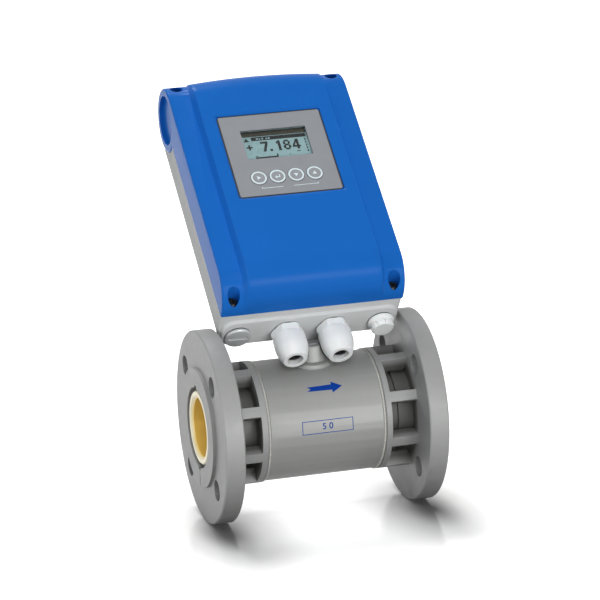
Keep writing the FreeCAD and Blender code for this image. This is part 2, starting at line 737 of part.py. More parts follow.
# --- Front cover --------------------------------------------------------------
def cover_body():
    """Side bands and barrel of the cover: one outline drawn across the housing."""
    a = -HALF_W
    joint_angle = 180 + math.degrees(math.asin(barrel_c() / END_R))
    k = END_R * math.cos(math.radians(45))
    low_c = barrel_c()
    low_mid = (FOOT_B + END_R - k, low_c + k)
    curves = [
        line(a, (FOOT_B, 0), (FOOT_B, low_c)),
        Part.Arc(Vector(a, FOOT_B, low_c), Vector(a, *low_mid),
                 Vector(a, FOOT_B + END_R, SIDE_C)).toShape(),
        line(a, (FOOT_B + END_R, SIDE_C), (BARREL_B, SIDE_C)),
        circle_edge(END_R, 90, -90, a),
        circle_edge(END_R, 270, joint_angle, a),
        line(a, barrel_point(END_R, joint_angle), (FOOT_B, 0)),
    ]
    body = side_face(curves).extrude(Vector(2 * HALF_W, 0, 0))
    rim = []
    for edge in body.Edges:
        box_ = edge.BoundBox
        on_side = box_.XLength < 1e-6
        if on_side and box_.ZMax > 0.01:
            rim.append(edge)
        elif on_side and box_.ZMin < -0.01:
            rim.append(edge)
    return body.makeFillet(EDGE_RADIUS, rim)


def panel_wire(a, rise, back, low_c):
    """Side outline of the raised panel at one place across the cover."""
    top_b = BARREL_B - back
    mid_c = barrel_c() + rise
    k = END_R * math.cos(math.radians(45))
    curves = [
        line(a, (FOOT_B, low_c), (FOOT_B, mid_c)),
        Part.Arc(Vector(a, FOOT_B, mid_c), Vector(a, FOOT_B + END_R - k, mid_c + k),
                 Vector(a, FOOT_B + END_R, mid_c + END_R)).toShape(),
        line(a, (FOOT_B + END_R, mid_c + END_R), (top_b, mid_c + END_R)),
        Part.Arc(Vector(a, top_b, mid_c + END_R), Vector(a, top_b + k, mid_c + k),
                 Vector(a, top_b + END_R, mid_c)).toShape(),
        line(a, (top_b + END_R, mid_c), (top_b + END_R, low_c)),
        line(a, (top_b + END_R, low_c), (FOOT_B, low_c)),
    ]
    return Part.Wire(curves)


def raised_panel():
    """Crowned middle panel with sloping sides."""
    low = 1.0
    outer = PANEL_HALF_W + PANEL_SLOPE_W
    side = {s: panel_wire(s * PANEL_HALF_W, PANEL_RISE, PANEL_TOP_BACK, low) for s in (-1, 1)}
    foot = {s: panel_wire(s * outer, 0, PANEL_TOP_BACK + 1, low) for s in (-1, 1)}
    middle = panel_wire(0, PANEL_RISE + PANEL_CROWN, PANEL_TOP_BACK_MID, low)
    crown = Part.makeLoft([side[-1], middle, side[1]], True, False)
    left = Part.makeLoft([foot[-1], side[-1]], True, True)
    right = Part.makeLoft([side[1], foot[1]], True, True)
    return [crown, left, right]


def cover_cavity():
    """Room inside the cover, open to the rear housing."""
    half = HALF_W - COVER_WALL
    a = -half
    r = END_R - COVER_WALL
    low = FOOT_B + COVER_WALL
    top = SIDE_C - COVER_WALL
    low_c = barrel_c()
    k = r * math.cos(math.radians(45))
    lip_angle = 250.0
    outside = END_R + 2
    under = -1.0
    lip_out = barrel_point(outside, lip_angle)
    curves = [
        line(a, (low, under), (low, low_c)),
        Part.Arc(Vector(a, low, low_c), Vector(a, low + r - k, low_c + k),
                 Vector(a, low + r, top)).toShape(),
        line(a, (low + r, top), (BARREL_B, top)),
        circle_edge(r, 90, -90, a),
        circle_edge(r, 270, lip_angle, a),
        line(a, barrel_point(r, lip_angle), lip_out),
        line(a, lip_out, (BARREL_B - outside, under)),
        line(a, (BARREL_B - outside, under), (low, under)),
    ]
    room = side_face(curves).extrude(Vector(2 * half, 0, 0))
    under_panel = PLATE_TOP_C - PLATE_T - 2.0
    pocket = box(-PANEL_HALF_W + 3, PANEL_HALF_W - 3, FOOT_B + END_R, BARREL_B - 4, 0, under_panel)
    return joined([room, pocket])


def barrel_end(side):
    """End wall of the barrel behind the recess in its face."""
    outer = HALF_W - COVER_WALL + 0.5
    inner = HALF_W - BARREL_RECESS_DEPTH - BARREL_END_WALL
    a0 = min(side * inner, side * outer)
    return cylinder(END_R - COVER_WALL + 0.5, Vector(a0, BARREL_B, barrel_c()), X_AXIS, outer - inner)


def barrel_recess_cuts(side):
    """Round recess and rim notches in the end of the barrel."""
    a0 = side * (HALF_W - BARREL_RECESS_DEPTH)
    direction = Vector(side, 0, 0)
    cuts = [cylinder(BARREL_RECESS_R, Vector(a0, BARREL_B, barrel_c()), direction,
                     BARREL_RECESS_DEPTH + 1)]
    for i in range(NOTCH_COUNT):
        angle = -NOTCH_STEP_DEG * (i + 1)
        start = min(side * (HALF_W - NOTCH_DEPTH), side * (HALF_W + 1))
        notch = Part.makeBox(NOTCH_DEPTH + 1, NOTCH_DEPTH + 1, NOTCH_W,
                             Vector(start, END_R - NOTCH_DEPTH, -NOTCH_W / 2))
        notch.rotate(Vector(0, 0, 0), X_AXIS, angle)
        cuts.append(at(notch, 0, BARREL_B, barrel_c()))
    return cuts


def plate_pocket():
    """Bevelled pocket for the display plate and the opening behind it."""
    floor = PLATE_TOP_C - PLATE_T
    width = PLATE_W + 2 * PLATE_GAP
    height = PLATE_H + 2 * PLATE_GAP
    well = at(rounded_plate(width, height, PLATE_CORNER_R, PLATE_T + 5), 0, PLATE_B, floor)
    grow = 2 * PLATE_BEVEL
    panel_top = SIDE_C + PANEL_RISE + PANEL_CROWN
    top_c = panel_top + 1
    slope = (top_c - PLATE_TOP_C) / (panel_top - PLATE_TOP_C)
    wires = []
    for share, c in ((0.0, PLATE_TOP_C), (slope, top_c)):
        outline = rounded_plate(width + grow * share, height + grow * share,
                                PLATE_CORNER_R + 0.2, 1.0)
        wires.append(at(outline, 0, PLATE_B, c).Faces)
    lower = [f for f in wires[0] if abs(f.BoundBox.ZMax - PLATE_TOP_C) < 1e-6][0].OuterWire
    upper = [f for f in wires[1] if abs(f.BoundBox.ZMax - top_c) < 1e-6][0].OuterWire
    bevel = Part.makeLoft([lower, upper], True, True)
    through = rounded_plate(width - 2 * PLATE_LEDGE, height - 2 * PLATE_LEDGE, 3.0, 20)
    return [well, bevel, at(through, 0, PLATE_B, floor - 15)]


def display_posts():
    """Posts under the cover's ledge for the display board."""
    posts = []
    ceiling = PLATE_TOP_C - PLATE_T - 1.5
    for a, b in display_screw_places():
        posts.append(cylinder(POST_R, Vector(a, b, DISPLAY_BOARD_C + BOARD_T), Z_AXIS,
                              ceiling - DISPLAY_BOARD_C - BOARD_T))
    return posts


def display_screw_places():
    return [(side_a * (PLATE_W / 2 + 2.5), PLATE_B + side_b * (PLATE_H / 2 - 8))
            for side_a in (-1, 1) for side_b in (-1, 1)]


def front_cover():
    body = joined([cover_body()] + raised_panel())
    body = body.cut(cover_cavity())
    bosses = []
    for a, b in cover_screw_places():
        boss = cylinder(SCREW_BOSS_R, Vector(a, b, 0.2), Z_AXIS, SIDE_C)
        bosses.append(boss.common(cover_body()))
    body = joined([body] + bosses + display_posts() + [barrel_end(-1), barrel_end(1)])
    cuts = plate_pocket() + barrel_recess_cuts(-1) + barrel_recess_cuts(1)
    for a, b in cover_screw_places():
        cuts.append(cylinder(SCREW_WELL_R, Vector(a, b, SCREW_SEAT_C), Z_AXIS, SIDE_C))
        cuts.append(cylinder(SCREW_R + SCREW_CLEARANCE, Vector(a, b, -1), Z_AXIS, SIDE_C))
    for a, b in display_screw_places():
        cuts.append(cylinder(BOARD_SCREW_R, Vector(a, b, DISPLAY_BOARD_C), Z_AXIS, 8))
    for lug in screw_lugs():
        room = lug.BoundBox
        cuts.append(box(room.XMin - LUG_GAP, room.XMax + LUG_GAP, room.YMin, room.YMax + LUG_GAP,
                        room.ZMin - LUG_GAP, room.ZMax))
    return body.cut(cuts)


def pan_screw(head_r, head_h, r, length, slot_w):
    """Screw with its head seat at zero, its shank down and a cross in its head."""
    head = cylinder(head_r, Vector(0, 0, 0), Z_AXIS, head_h)
    head = head.makeChamfer(head_h * 0.3, [e for e in head.Edges if e.BoundBox.ZMin > head_h - 0.01])
    shank = cylinder(r, Vector(0, 0, -length), Z_AXIS, length)
    arm = head_r * 0.6
    cross = [box(-arm, arm, -slot_w / 2, slot_w / 2, head_h / 2, head_h + 1),
             box(-slot_w / 2, slot_w / 2, -arm, arm, head_h / 2, head_h + 1)]
    return joined([head, shank]).cut(cross)


def cover_screws():
    screw = pan_screw(SCREW_HEAD_R, SCREW_HEAD_H, SCREW_R, SCREW_LENGTH - 0.5, 1.4)
    return Part.makeCompound([at(screw, a, b, SCREW_SEAT_C) for a, b in cover_screw_places()])


# --- Display ------------------------------------------------------------------
def key_place(i):
    return (i - (KEY_COUNT - 1) / 2) * KEY_PITCH


def display_plate():
    plate = at(rounded_plate(PLATE_W, PLATE_H, PLATE_CORNER_R, PLATE_T), 0, PLATE_B,
               PLATE_TOP_C - PLATE_T)
    cuts = [at(rounded_plate(WINDOW_W, WINDOW_H, 0.8, PLATE_T + 2), 0, WINDOW_B,
               PLATE_TOP_C - PLATE_T - 1)]
    for i in range(KEY_COUNT):
        cuts.append(cylinder(KEY_R + KEY_HOLE_GAP, Vector(key_place(i), KEY_B, PLATE_TOP_C - 5),
                             Z_AXIS, 10))
    return plate.cut(cuts)


def display_window():
    """Clear pane with a step that seats behind the plate."""
    back = PLATE_TOP_C - PLATE_T
    pane = at(rounded_plate(WINDOW_W - 2 * WINDOW_GAP, WINDOW_H - 2 * WINDOW_GAP, 0.6, WINDOW_T), 0,
              WINDOW_B, back)
    step = at(rounded_plate(WINDOW_W + 4, WINDOW_H + 4, 1.0, 0.8), 0, WINDOW_B, back - 0.8)
    return joined([pane, step])


def key_cap():
    """Push key with a flange behind the plate and a stem down to its switch."""
    top = PLATE_TOP_C + KEY_PROUD
    back = PLATE_TOP_C - PLATE_T
    cap = cylinder(KEY_R, Vector(0, 0, top - KEY_CAP_T), Z_AXIS, KEY_CAP_T)
    cap = cap.makeFillet(0.3, [e for e in cap.Edges if e.BoundBox.ZMin > top - 0.01])
    flange = cylinder(KEY_R + KEY_FLANGE + KEY_HOLE_GAP, Vector(0, 0, back - 0.3 - 0.8), Z_AXIS, 0.8)
    foot = DISPLAY_BOARD_C + BOARD_T + SWITCH_H + SWITCH_BUTTON_H + KEY_TRAVEL / 2
    stem = cylinder(KEY_STEM_R, Vector(0, 0, foot), Z_AXIS, back - 0.5 - foot)
    return joined([cap, flange, stem])


def key_switches():
    """Four small switches on the display board."""
    switches = []
    base = DISPLAY_BOARD_C + BOARD_T
    for i in range(KEY_COUNT):
        case = box(-SWITCH_W / 2, SWITCH_W / 2, -SWITCH_W / 2, SWITCH_W / 2, 0, SWITCH_H)
        button = cylinder(SWITCH_BUTTON_R, Vector(0, 0, SWITCH_H), Z_AXIS,
                          SWITCH_BUTTON_H - KEY_TRAVEL / 2 - 0.1)
        switches.append(at(joined([case, button]), key_place(i), KEY_B, base))
    return Part.makeCompound(switches)


def display_board():
    board = box(-PLATE_W / 2 - 6, PLATE_W / 2 + 6, PLATE_B - DISPLAY_BOARD_H / 2,
                PLATE_B + DISPLAY_BOARD_H / 2, DISPLAY_BOARD_C, DISPLAY_BOARD_C + BOARD_T)
    holes = [cylinder(BOARD_SCREW_R + 0.2, Vector(a, b, DISPLAY_BOARD_C - 1), Z_AXIS, 5)
             for a, b in display_screw_places()]
    return board.cut(holes)


def display_board_screws():
    screw = pan_screw(BOARD_HEAD_R, BOARD_HEAD_H, BOARD_SCREW_R, 7.0, 0.8)
    screw.rotate(Vector(0, 0, 0), X_AXIS, 180)
    return Part.makeCompound([at(screw, a, b, DISPLAY_BOARD_C) for a, b in display_screw_places()])


def lcd_module():
    """Liquid crystal display in its metal frame, seated on the display board."""
    base = DISPLAY_BOARD_C + BOARD_T
    top = PLATE_TOP_C - PLATE_T - 0.8 - 0.3
    frame = at(rounded_plate(LCD_W, LCD_H, 1.0, top - base), 0, WINDOW_B, base)
    glass = at(rounded_plate(LCD_W - 2 * LCD_FRAME, LCD_H - 2 * LCD_FRAME, 0.5, 3.0), 0, WINDOW_B,
               top - 2.5)
    return frame.cut(glass)


def lcd_glass():
    top = PLATE_TOP_C - PLATE_T - 0.8 - 0.3
    return at(rounded_plate(LCD_W - 2 * LCD_FRAME - 0.2, LCD_H - 2 * LCD_FRAME - 0.2, 0.4, 2.0), 0,
              WINDOW_B, top - 2.5)


# --- Electronics --------------------------------------------------------------
def main_board():
    board = box(-MAIN_BOARD_W / 2, MAIN_BOARD_W / 2, MAIN_BOARD_LOW, MAIN_BOARD_TOP, MAIN_BOARD_C,
                MAIN_BOARD_C + BOARD_T)
    holes = [cylinder(BOARD_SCREW_R + 0.2, Vector(a, b, MAIN_BOARD_C - 1), Z_AXIS, 5)
             for a, b in board_screw_places()]
    return board.cut(holes)


def main_board_screws():
    screw = pan_screw(BOARD_HEAD_R, BOARD_HEAD_H, BOARD_SCREW_R, 8.0, 0.8)
    return Part.makeCompound([at(screw, a, b, MAIN_BOARD_C + BOARD_T)
                              for a, b in board_screw_places()])


def power_transformer():
    """Block transformer: iron core round a potted winding."""
    w, h, d = TRANSFORMER
    base = MAIN_BOARD_C + BOARD_T
    core = box(-w / 2, w / 2, -h / 2, h / 2, 0, d * 0.8)
    winding = at(rounded_plate(w * 0.55, h + 10, 3.0, d), 0, 0, 0)
    return at(joined([core, winding]), -MAIN_BOARD_W / 4, TRANSFORMER_B, base)


def terminal_block():
    """Row of screw terminals with wire mouths towards the cable entries."""
    base = MAIN_BOARD_C + BOARD_T
    width = TERMINAL_WAYS * TERMINAL_PITCH
    block = box(-width / 2, width / 2, -TERMINAL_D / 2, TERMINAL_D / 2, 0, TERMINAL_H)
    step = box(-width / 2 - 1, width / 2 + 1, -TERMINAL_D, 0, TERMINAL_H * 0.65, TERMINAL_H + 1)
    cuts = [step]
    for i in range(TERMINAL_WAYS):
        a = (i - (TERMINAL_WAYS - 1) / 2) * TERMINAL_PITCH
        cuts.append(box(a - 2.2, a + 2.2, -TERMINAL_D / 2 - 1, 0, 2.5, 7.0))
        cuts.append(cylinder(2.4, Vector(a, TERMINAL_D / 4, TERMINAL_H - 3), Z_AXIS, 5))
    return at(block.cut(cuts), 0, TERMINAL_B, base)


def capacitors():
    """Smoothing capacitors beside the transformer."""
    base = MAIN_BOARD_C + BOARD_T
    cans = []
    for i in range(CAPACITOR_COUNT):
        can = cylinder(CAPACITOR_R, Vector(0, 0, 0), Z_AXIS, CAPACITOR_H)
        can = can.makeFillet(1.0, [e for e in can.Edges if e.BoundBox.ZMin > CAPACITOR_H - 0.01])
        cans.append(at(can, MAIN_BOARD_W / 4, TRANSFORMER_B + (i - 1) * (2 * CAPACITOR_R + 2), base))
    return Part.makeCompound(cans)


# --- Cable entries ------------------------------------------------------------
def bevelled_hexagon(across_flats, height):
    """Hexagon whose corners are turned off at both ends."""
    r = across_flats / math.sqrt(3)
    drop = (r - across_flats / 2) * 0.6
    cone = turned_up([(0, 0), (r - drop, 0), (r, drop), (r, height - drop), (r - drop, height),
                      (0, height)])
    return hexagon(across_flats, height).common(cone)


def gland_body():
    """Hexagon body with its shank through the wall and its nut spigot."""
    seat = SEAL_RING_T
    hexa = at(bevelled_hexagon(GLAND_HEX_AF, GLAND_HEX_H), 0, 0, seat)
    shank = cylinder(THREAD_R - THREAD_GAP, Vector(0, 0, seat - GLAND_SHANK - SEAL_RING_T), Z_AXIS,
                     GLAND_SHANK + SEAL_RING_T)
    spigot_h = GLAND_NUT_H * 0.5
    spigot = cylinder(GLAND_NUT_R - 3.0, Vector(0, 0, seat + GLAND_HEX_H), Z_AXIS, spigot_h)
    bore = cylinder(GLAND_SEAL_R + 0.1, Vector(0, 0, seat + GLAND_HEX_H), Z_AXIS, spigot_h + 1)
    duct = cylinder(GLAND_BORE_R + 0.6, Vector(0, 0, -GLAND_SHANK - 5), Z_AXIS, GLAND_SHANK + 40)
    return joined([hexa, shank, spigot]).cut([bore, duct])


def gland_nut():
    """Dome nut: straight skirt, then a long round shoulder to the mouth."""
    z0 = SEAL_RING_T + GLAND_HEX_H
    z1 = z0 + GLAND_NUT_H
    skirt = z0 + GLAND_NUT_H * 0.42
    lip = 1.2
    outer = [Vector(GLAND_NUT_R, 0, skirt), Vector(GLAND_NUT_R - 1.35, 0, (skirt + z1) / 2),
             Vector(GLAND_MOUTH_R + lip, 0, z1 - lip)]
    inner_r = GLAND_NUT_R - 3.0 + THREAD_GAP
    ledge = z0 + GLAND_NUT_H * 0.55
    edges = [
        Part.LineSegment(Vector(inner_r, 0, z0), Vector(GLAND_NUT_R - 0.6, 0, z0)).toShape(),
        Part.LineSegment(Vector(GLAND_NUT_R - 0.6, 0, z0), Vector(GLAND_NUT_R, 0, z0 + 0.8)).toShape(),
        Part.LineSegment(Vector(GLAND_NUT_R, 0, z0 + 0.8), outer[0]).toShape(),
        Part.Arc(*outer).toShape(),
        Part.Arc(outer[2], Vector(GLAND_MOUTH_R + lip * 0.75, 0, z1 - lip * 0.3),
                 Vector(GLAND_MOUTH_R, 0, z1)).toShape(),
        Part.LineSegment(Vector(GLAND_MOUTH_R, 0, z1), Vector(GLAND_BORE_R + 0.4, 0, z1)).toShape(),
        Part.LineSegment(Vector(GLAND_BORE_R + 0.4, 0, z1),
                         Vector(GLAND_BORE_R + 0.4, 0, z1 - 5.0)).toShape(),
        Part.LineSegment(Vector(GLAND_BORE_R + 0.4, 0, z1 - 5.0), Vector(inner_r, 0, ledge)).toShape(),
        Part.LineSegment(Vector(inner_r, 0, ledge), Vector(inner_r, 0, z0)).toShape(),
    ]
    return Part.Face(Part.Wire(edges)).revolve(Vector(0, 0, 0), Z_AXIS, 360)


def gland_seal():
    """Rubber sealing insert held between the spigot and the nut."""
    z0 = SEAL_RING_T + GLAND_HEX_H
    top = z0 + GLAND_NUT_H * 0.5
    return turned_up([(GLAND_BORE_R, z0), (GLAND_SEAL_R, z0), (GLAND_SEAL_R, top),
                      (GLAND_BORE_R + 0.9, top + 5.5), (GLAND_BORE_R, top + 5.5)])


def entry_ring(outer_r):
    """Flat sealing ring under an entry's head."""
    return cylinder(outer_r, Vector(0, 0, 0), Z_AXIS, SEAL_RING_T).cut(
        cylinder(THREAD_R, Vector(0, 0, 0), Z_AXIS, SEAL_RING_T))


def blind_plug():
    """Flat slotted metal plug."""
    z1 = SEAL_RING_T + PLUG_HEAD_H
    outline = [(0, SEAL_RING_T - 8), (THREAD_R - THREAD_GAP, SEAL_RING_T - 8),
               (THREAD_R - THREAD_GAP, SEAL_RING_T), (PLUG_HEAD_R, SEAL_RING_T),
               (PLUG_HEAD_R, z1 - 0.8), (PLUG_HEAD_R - 0.8, z1), (0, z1)]
    slot = box(-PLUG_HEAD_R * 0.72, PLUG_HEAD_R * 0.72, -PLUG_SLOT_W / 2, PLUG_SLOT_W / 2,
               z1 - 1.6, z1 + 1)
    return turned_up(outline).cut(slot)


def vent_plug():
    """Breather plug with a notched skirt and a hollow thread."""
    z0 = SEAL_RING_T
    z1 = z0 + VENT_HEAD_H
    outline = [(4.0, z0 - 8), (THREAD_R - THREAD_GAP, z0 - 8), (THREAD_R - THREAD_GAP, z0),
               (PLUG_HEAD_R, z0), (PLUG_HEAD_R, z0 + 1.5), (VENT_HEAD_R, z0 + 2.5),
               (VENT_HEAD_R, z1 - 2.0), (VENT_HEAD_R - 2.0, z1), (0, z1), (0, z1 - 3), (4.0, z1 - 3)]
    cap = turned_up(outline)
    cuts = []
    for i in range(VENT_NOTCHES):
        notch = box(VENT_HEAD_R - 1.8, VENT_HEAD_R + 1, -1.1, 1.1, z1 - 4.5, z1 + 1)
        notch.rotate(Vector(0, 0, 0), Z_AXIS, 360.0 / VENT_NOTCHES * i)
        cuts.append(notch)
    return cap.cut(cuts)


def build_entries():
    body, nut, seal = gland_body(), gland_nut(), gland_seal()
    for name, a in (("left", -GLAND_A), ("right", GLAND_A)):
        add("gland_body_" + name, to_meter(entry(body, a)))
        add("gland_nut_" + name, to_meter(entry(nut, a)))
        add("gland_seal_" + name, to_meter(entry(seal, a)))
    add("blind_plug", to_meter(entry(blind_plug(), -PLUG_A)))
    add("vent_plug", to_meter(entry(vent_plug(), PLUG_A)))
    gland_r = GLAND_HEX_AF / 2 - 0.5
    rings = [entry(entry_ring(gland_r), a) for a in (-GLAND_A, GLAND_A)]
    rings += [entry(entry_ring(PLUG_HEAD_R - 0.3), a) for a in (-PLUG_A, PLUG_A)]
    add("entry_sealing_rings", to_meter(Part.makeCompound(rings)))


def build_converter():
    add("neck", neck())
    add("neck_gasket", neck_gasket())
    add("neck_screws", neck_screws())
    add("rear_housing", to_meter(rear_housing()))
    add("front_cover", to_meter(front_cover()))
    add("housing_seal", to_meter(seal_loop(1.4, 1.1)))
    add("cover_screws", to_meter(cover_screws()))
    add("display_plate", to_meter(display_plate()))
    add("display_window", to_meter(display_window()))
    cap = key_cap()
    for i, name in enumerate(("key_right", "key_enter", "key_down", "key_up")):
        add(name, to_meter(at(cap, key_place(i), KEY_B, 0)))
    add("key_switches", to_meter(key_switches()))
    add("display_board", to_meter(display_board()))
    add("display_board_screws", to_meter(display_board_screws()))
    add("lcd_frame", to_meter(lcd_module()))
    add("lcd_glass", to_meter(lcd_glass()))
    add("main_board", to_meter(main_board()))
    add("main_board_screws", to_meter(main_board_screws()))
    add("power_transformer", to_meter(power_transformer()))
    add("terminal_block", to_meter(terminal_block()))
    add("capacitors", to_meter(capacitors()))


build_sensor()
build_converter()
build_entries()

os.makedirs("parts", exist_ok=True)
for node, shape in PARTS.items():
    shape.exportStep("parts/" + node + ".step")
    print(node, "solids", len(shape.Solids), "valid", shape.isValid(), "volume %.0f" % shape.Volume)
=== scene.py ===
import json
import math

import bmesh
import bpy
from mathutils import Matrix, Vector

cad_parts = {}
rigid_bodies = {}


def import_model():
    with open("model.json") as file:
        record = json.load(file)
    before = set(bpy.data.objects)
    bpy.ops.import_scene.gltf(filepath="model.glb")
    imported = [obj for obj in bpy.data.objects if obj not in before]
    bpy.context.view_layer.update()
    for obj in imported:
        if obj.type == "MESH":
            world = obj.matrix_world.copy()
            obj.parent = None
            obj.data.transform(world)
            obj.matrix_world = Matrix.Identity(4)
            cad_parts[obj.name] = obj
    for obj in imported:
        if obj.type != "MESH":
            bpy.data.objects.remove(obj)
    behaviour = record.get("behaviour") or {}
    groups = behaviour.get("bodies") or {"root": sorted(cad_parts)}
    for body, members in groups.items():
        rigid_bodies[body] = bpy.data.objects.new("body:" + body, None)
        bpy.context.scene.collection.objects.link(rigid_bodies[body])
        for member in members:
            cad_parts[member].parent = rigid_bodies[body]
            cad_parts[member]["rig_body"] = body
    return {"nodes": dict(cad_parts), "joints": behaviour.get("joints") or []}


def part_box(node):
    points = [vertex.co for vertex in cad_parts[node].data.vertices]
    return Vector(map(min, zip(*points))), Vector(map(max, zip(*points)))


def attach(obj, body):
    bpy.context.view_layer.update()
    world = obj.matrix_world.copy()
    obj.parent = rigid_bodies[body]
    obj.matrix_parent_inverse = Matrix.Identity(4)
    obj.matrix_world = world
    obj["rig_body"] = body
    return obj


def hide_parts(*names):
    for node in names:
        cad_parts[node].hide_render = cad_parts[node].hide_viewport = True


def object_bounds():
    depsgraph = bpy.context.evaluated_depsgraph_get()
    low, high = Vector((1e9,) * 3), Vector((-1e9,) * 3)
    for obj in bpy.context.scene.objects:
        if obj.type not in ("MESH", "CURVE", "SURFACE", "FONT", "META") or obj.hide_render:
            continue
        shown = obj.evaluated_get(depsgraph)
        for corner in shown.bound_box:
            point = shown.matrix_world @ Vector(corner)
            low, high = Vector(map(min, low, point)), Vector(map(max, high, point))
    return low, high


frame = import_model()
CAD_BOX = [list(corner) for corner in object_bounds()]

MM = 0.001

# --- The meter's own directions and places -----------------------------------
ACROSS = Vector((1, 0, 0))
OUT = -Vector(frame["joints"][0]["axis"]).normalized()     # a key goes in along its axis
UP = OUT.cross(ACROSS)
METER = "meter"
KEYS = ("key_right", "key_enter", "key_down", "key_up")


def span(node, direction):
    """Lowest and highest reach of a node along a direction."""
    reach = [vertex.co.dot(direction) for vertex in frame["nodes"][node].data.vertices]
    return min(reach), max(reach)


def on_face(node, lift=0.0):
    """Places flat artwork, in mm, on the front face of a tilted node."""
    across = sum(span(node, ACROSS)) / 2
    up = sum(span(node, UP)) / 2
    out = span(node, OUT)[1] + lift * MM

    def place(x, y, proud):
        return ACROSS * (across + x * MM) + UP * (up + y * MM) + OUT * (out + proud * MM)
    return place


SHELL_WELD_RISE = 0.8 * MM     # the solid's weld rings stand this proud of the tube
SHELL_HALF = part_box("sensor_shell")[1].x
SHELL_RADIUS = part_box("sensor_shell")[1].z - SHELL_WELD_RISE
PLATE_THICK = 20 * MM          # of a flange
FOOT_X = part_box("outlet_flange")[1].x - PLATE_THICK / 2     # middle of the plate, where it stands


def on_shell(centre_deg):
    """Wraps flat artwork, in mm, on the front of the sensor shell at an angle above level."""
    def place(x, y, proud):
        angle = math.radians(centre_deg) + y * MM / SHELL_RADIUS
        r = SHELL_RADIUS + proud * MM
        return Vector((x * MM, -r * math.cos(angle), r * math.sin(angle)))
    return place


# --- Materials ----------------------------------------------------------------
PATCH_DETAIL = 3.0
GRAIN_DETAIL = 2.0
NOISE_LOW, NOISE_HIGH = 0.3, 0.7     # a noise value seldom leaves this range
CAGE_SHADE_FADE = 8 * MM                   # over which the painted shade in the cage begins
CAGE_SHADE_PAST = 0.2 * MM                 # how far it reaches into the plate, so that the root is shaded too
MOUTH_FADE_MM = (2.5, 0.6)           # from the ceramic's end: all amber, all ivory


def linear(code):
    """sRGB hex to a linear colour."""
    values = []
    for i in (1, 3, 5):
        v = int(code[i:i + 2], 16) / 255
        values.append(v / 12.92 if v <= 0.04045 else ((v + 0.055) / 1.055) ** 2.4)
    return (*values, 1.0)


def put(tree, kind, inputs=None, **settings):
    """Adds a node. An input is a value, or an output to link from."""
    made = tree.nodes.new(kind)
    for name, value in settings.items():
        setattr(made, name, value)
    for name, value in (inputs or {}).items():
        if isinstance(value, bpy.types.NodeSocket):
            tree.links.new(value, made.inputs[name])
        else:
            made.inputs[name].default_value = value
    return made


def coated(name, light, dark, patch_mm, grain_mm, depth_mm, rough, spread, stretch=(1, 1, 1), **sockets):
    """A finish with patches of two close colours, a gloss that varies by spread, and a fine grain.

    Ripples of powder coat, glaze and acrylic are drawn 1 to 4 mm long, about as real ones are.
    Blasted, ground, plated, moulded and printed grains are really finer than about 0.2 mm, too fine
    to show, so they are drawn as coarse as they need to show: 0.4 to 0.8 mm.
    """
    material = bpy.data.materials.new(name)
    material.use_nodes = True
    tree = material.node_tree
    tree.nodes.clear()
    place = put(tree, "ShaderNodeTexCoord")
    drawn = put(tree, "ShaderNodeMapping", {"Vector": place.outputs["Object"], "Scale": stretch})
    patches = put(tree, "ShaderNodeTexNoise",
                  {"Vector": drawn.outputs[0], "Scale": 1 / (patch_mm * MM), "Detail": PATCH_DETAIL})
    tone = put(tree, "ShaderNodeMix", {0: patches.outputs["Fac"], 6: linear(dark), 7: linear(light)},
               data_type="RGBA")
    grain = put(tree, "ShaderNodeTexNoise",
                {"Vector": drawn.outputs[0], "Scale": 1 / (grain_mm * MM), "Detail": GRAIN_DETAIL})
    gloss = put(tree, "ShaderNodeMapRange",
                {"Value": patches.outputs["Fac"], "From Min": NOISE_LOW, "From Max": NOISE_HIGH,
                 "To Min": rough - spread, "To Max": rough + spread})
    relief = put(tree, "ShaderNodeBump",
                 {"Height": grain.outputs["Fac"], "Strength": 1.0, "Distance": depth_mm * MM})
    shader = put(tree, "ShaderNodeBsdfPrincipled",
                 {"Base Color": tone.outputs[2], "Roughness": gloss.outputs[0],
                  "Normal": relief.outputs[0], **sockets})
    put(tree, "ShaderNodeOutputMaterial", {"Surface": shader.outputs[0]})
    return material


def open_up(material):
    """The tree, the shader, the place node and the colour of a coated material."""
    tree = material.node_tree
    shader = next(node for node in tree.nodes if node.type == "BSDF_PRINCIPLED")
    place = next(node for node in tree.nodes if node.type == "TEX_COORD")
    return tree, shader, place, shader.inputs["Base Color"].links[0].from_socket


def ceramic():
    """Zirconia, ground and glazed: ivory at the mouth, deep amber where light is lost in the bore."""
    material = coated("zirconia_ceramic", "#fff6d4", "#fbf0c0", 9, 1.5, 0.004, 0.22, 0.05)
    tree, shader, place, ivory = open_up(material)
    end = span("measuring_tube", ACROSS)[1]
    part = put(tree, "ShaderNodeSeparateXYZ", {0: place.outputs["Object"]})
    along = put(tree, "ShaderNodeMath", {0: part.outputs["X"]}, operation="ABSOLUTE")
    mouth = put(tree, "ShaderNodeMapRange",
                {"Value": along.outputs[0], "From Min": end - MOUTH_FADE_MM[0] * MM,
                 "From Max": end - MOUTH_FADE_MM[1] * MM}, interpolation_type="SMOOTHSTEP")
    tone = put(tree, "ShaderNodeMix", {0: mouth.outputs[0], 6: linear("#ffdc74"), 7: ivory},
               data_type="RGBA")
    tree.links.new(tone.outputs[2], shader.inputs["Base Color"])
    return material


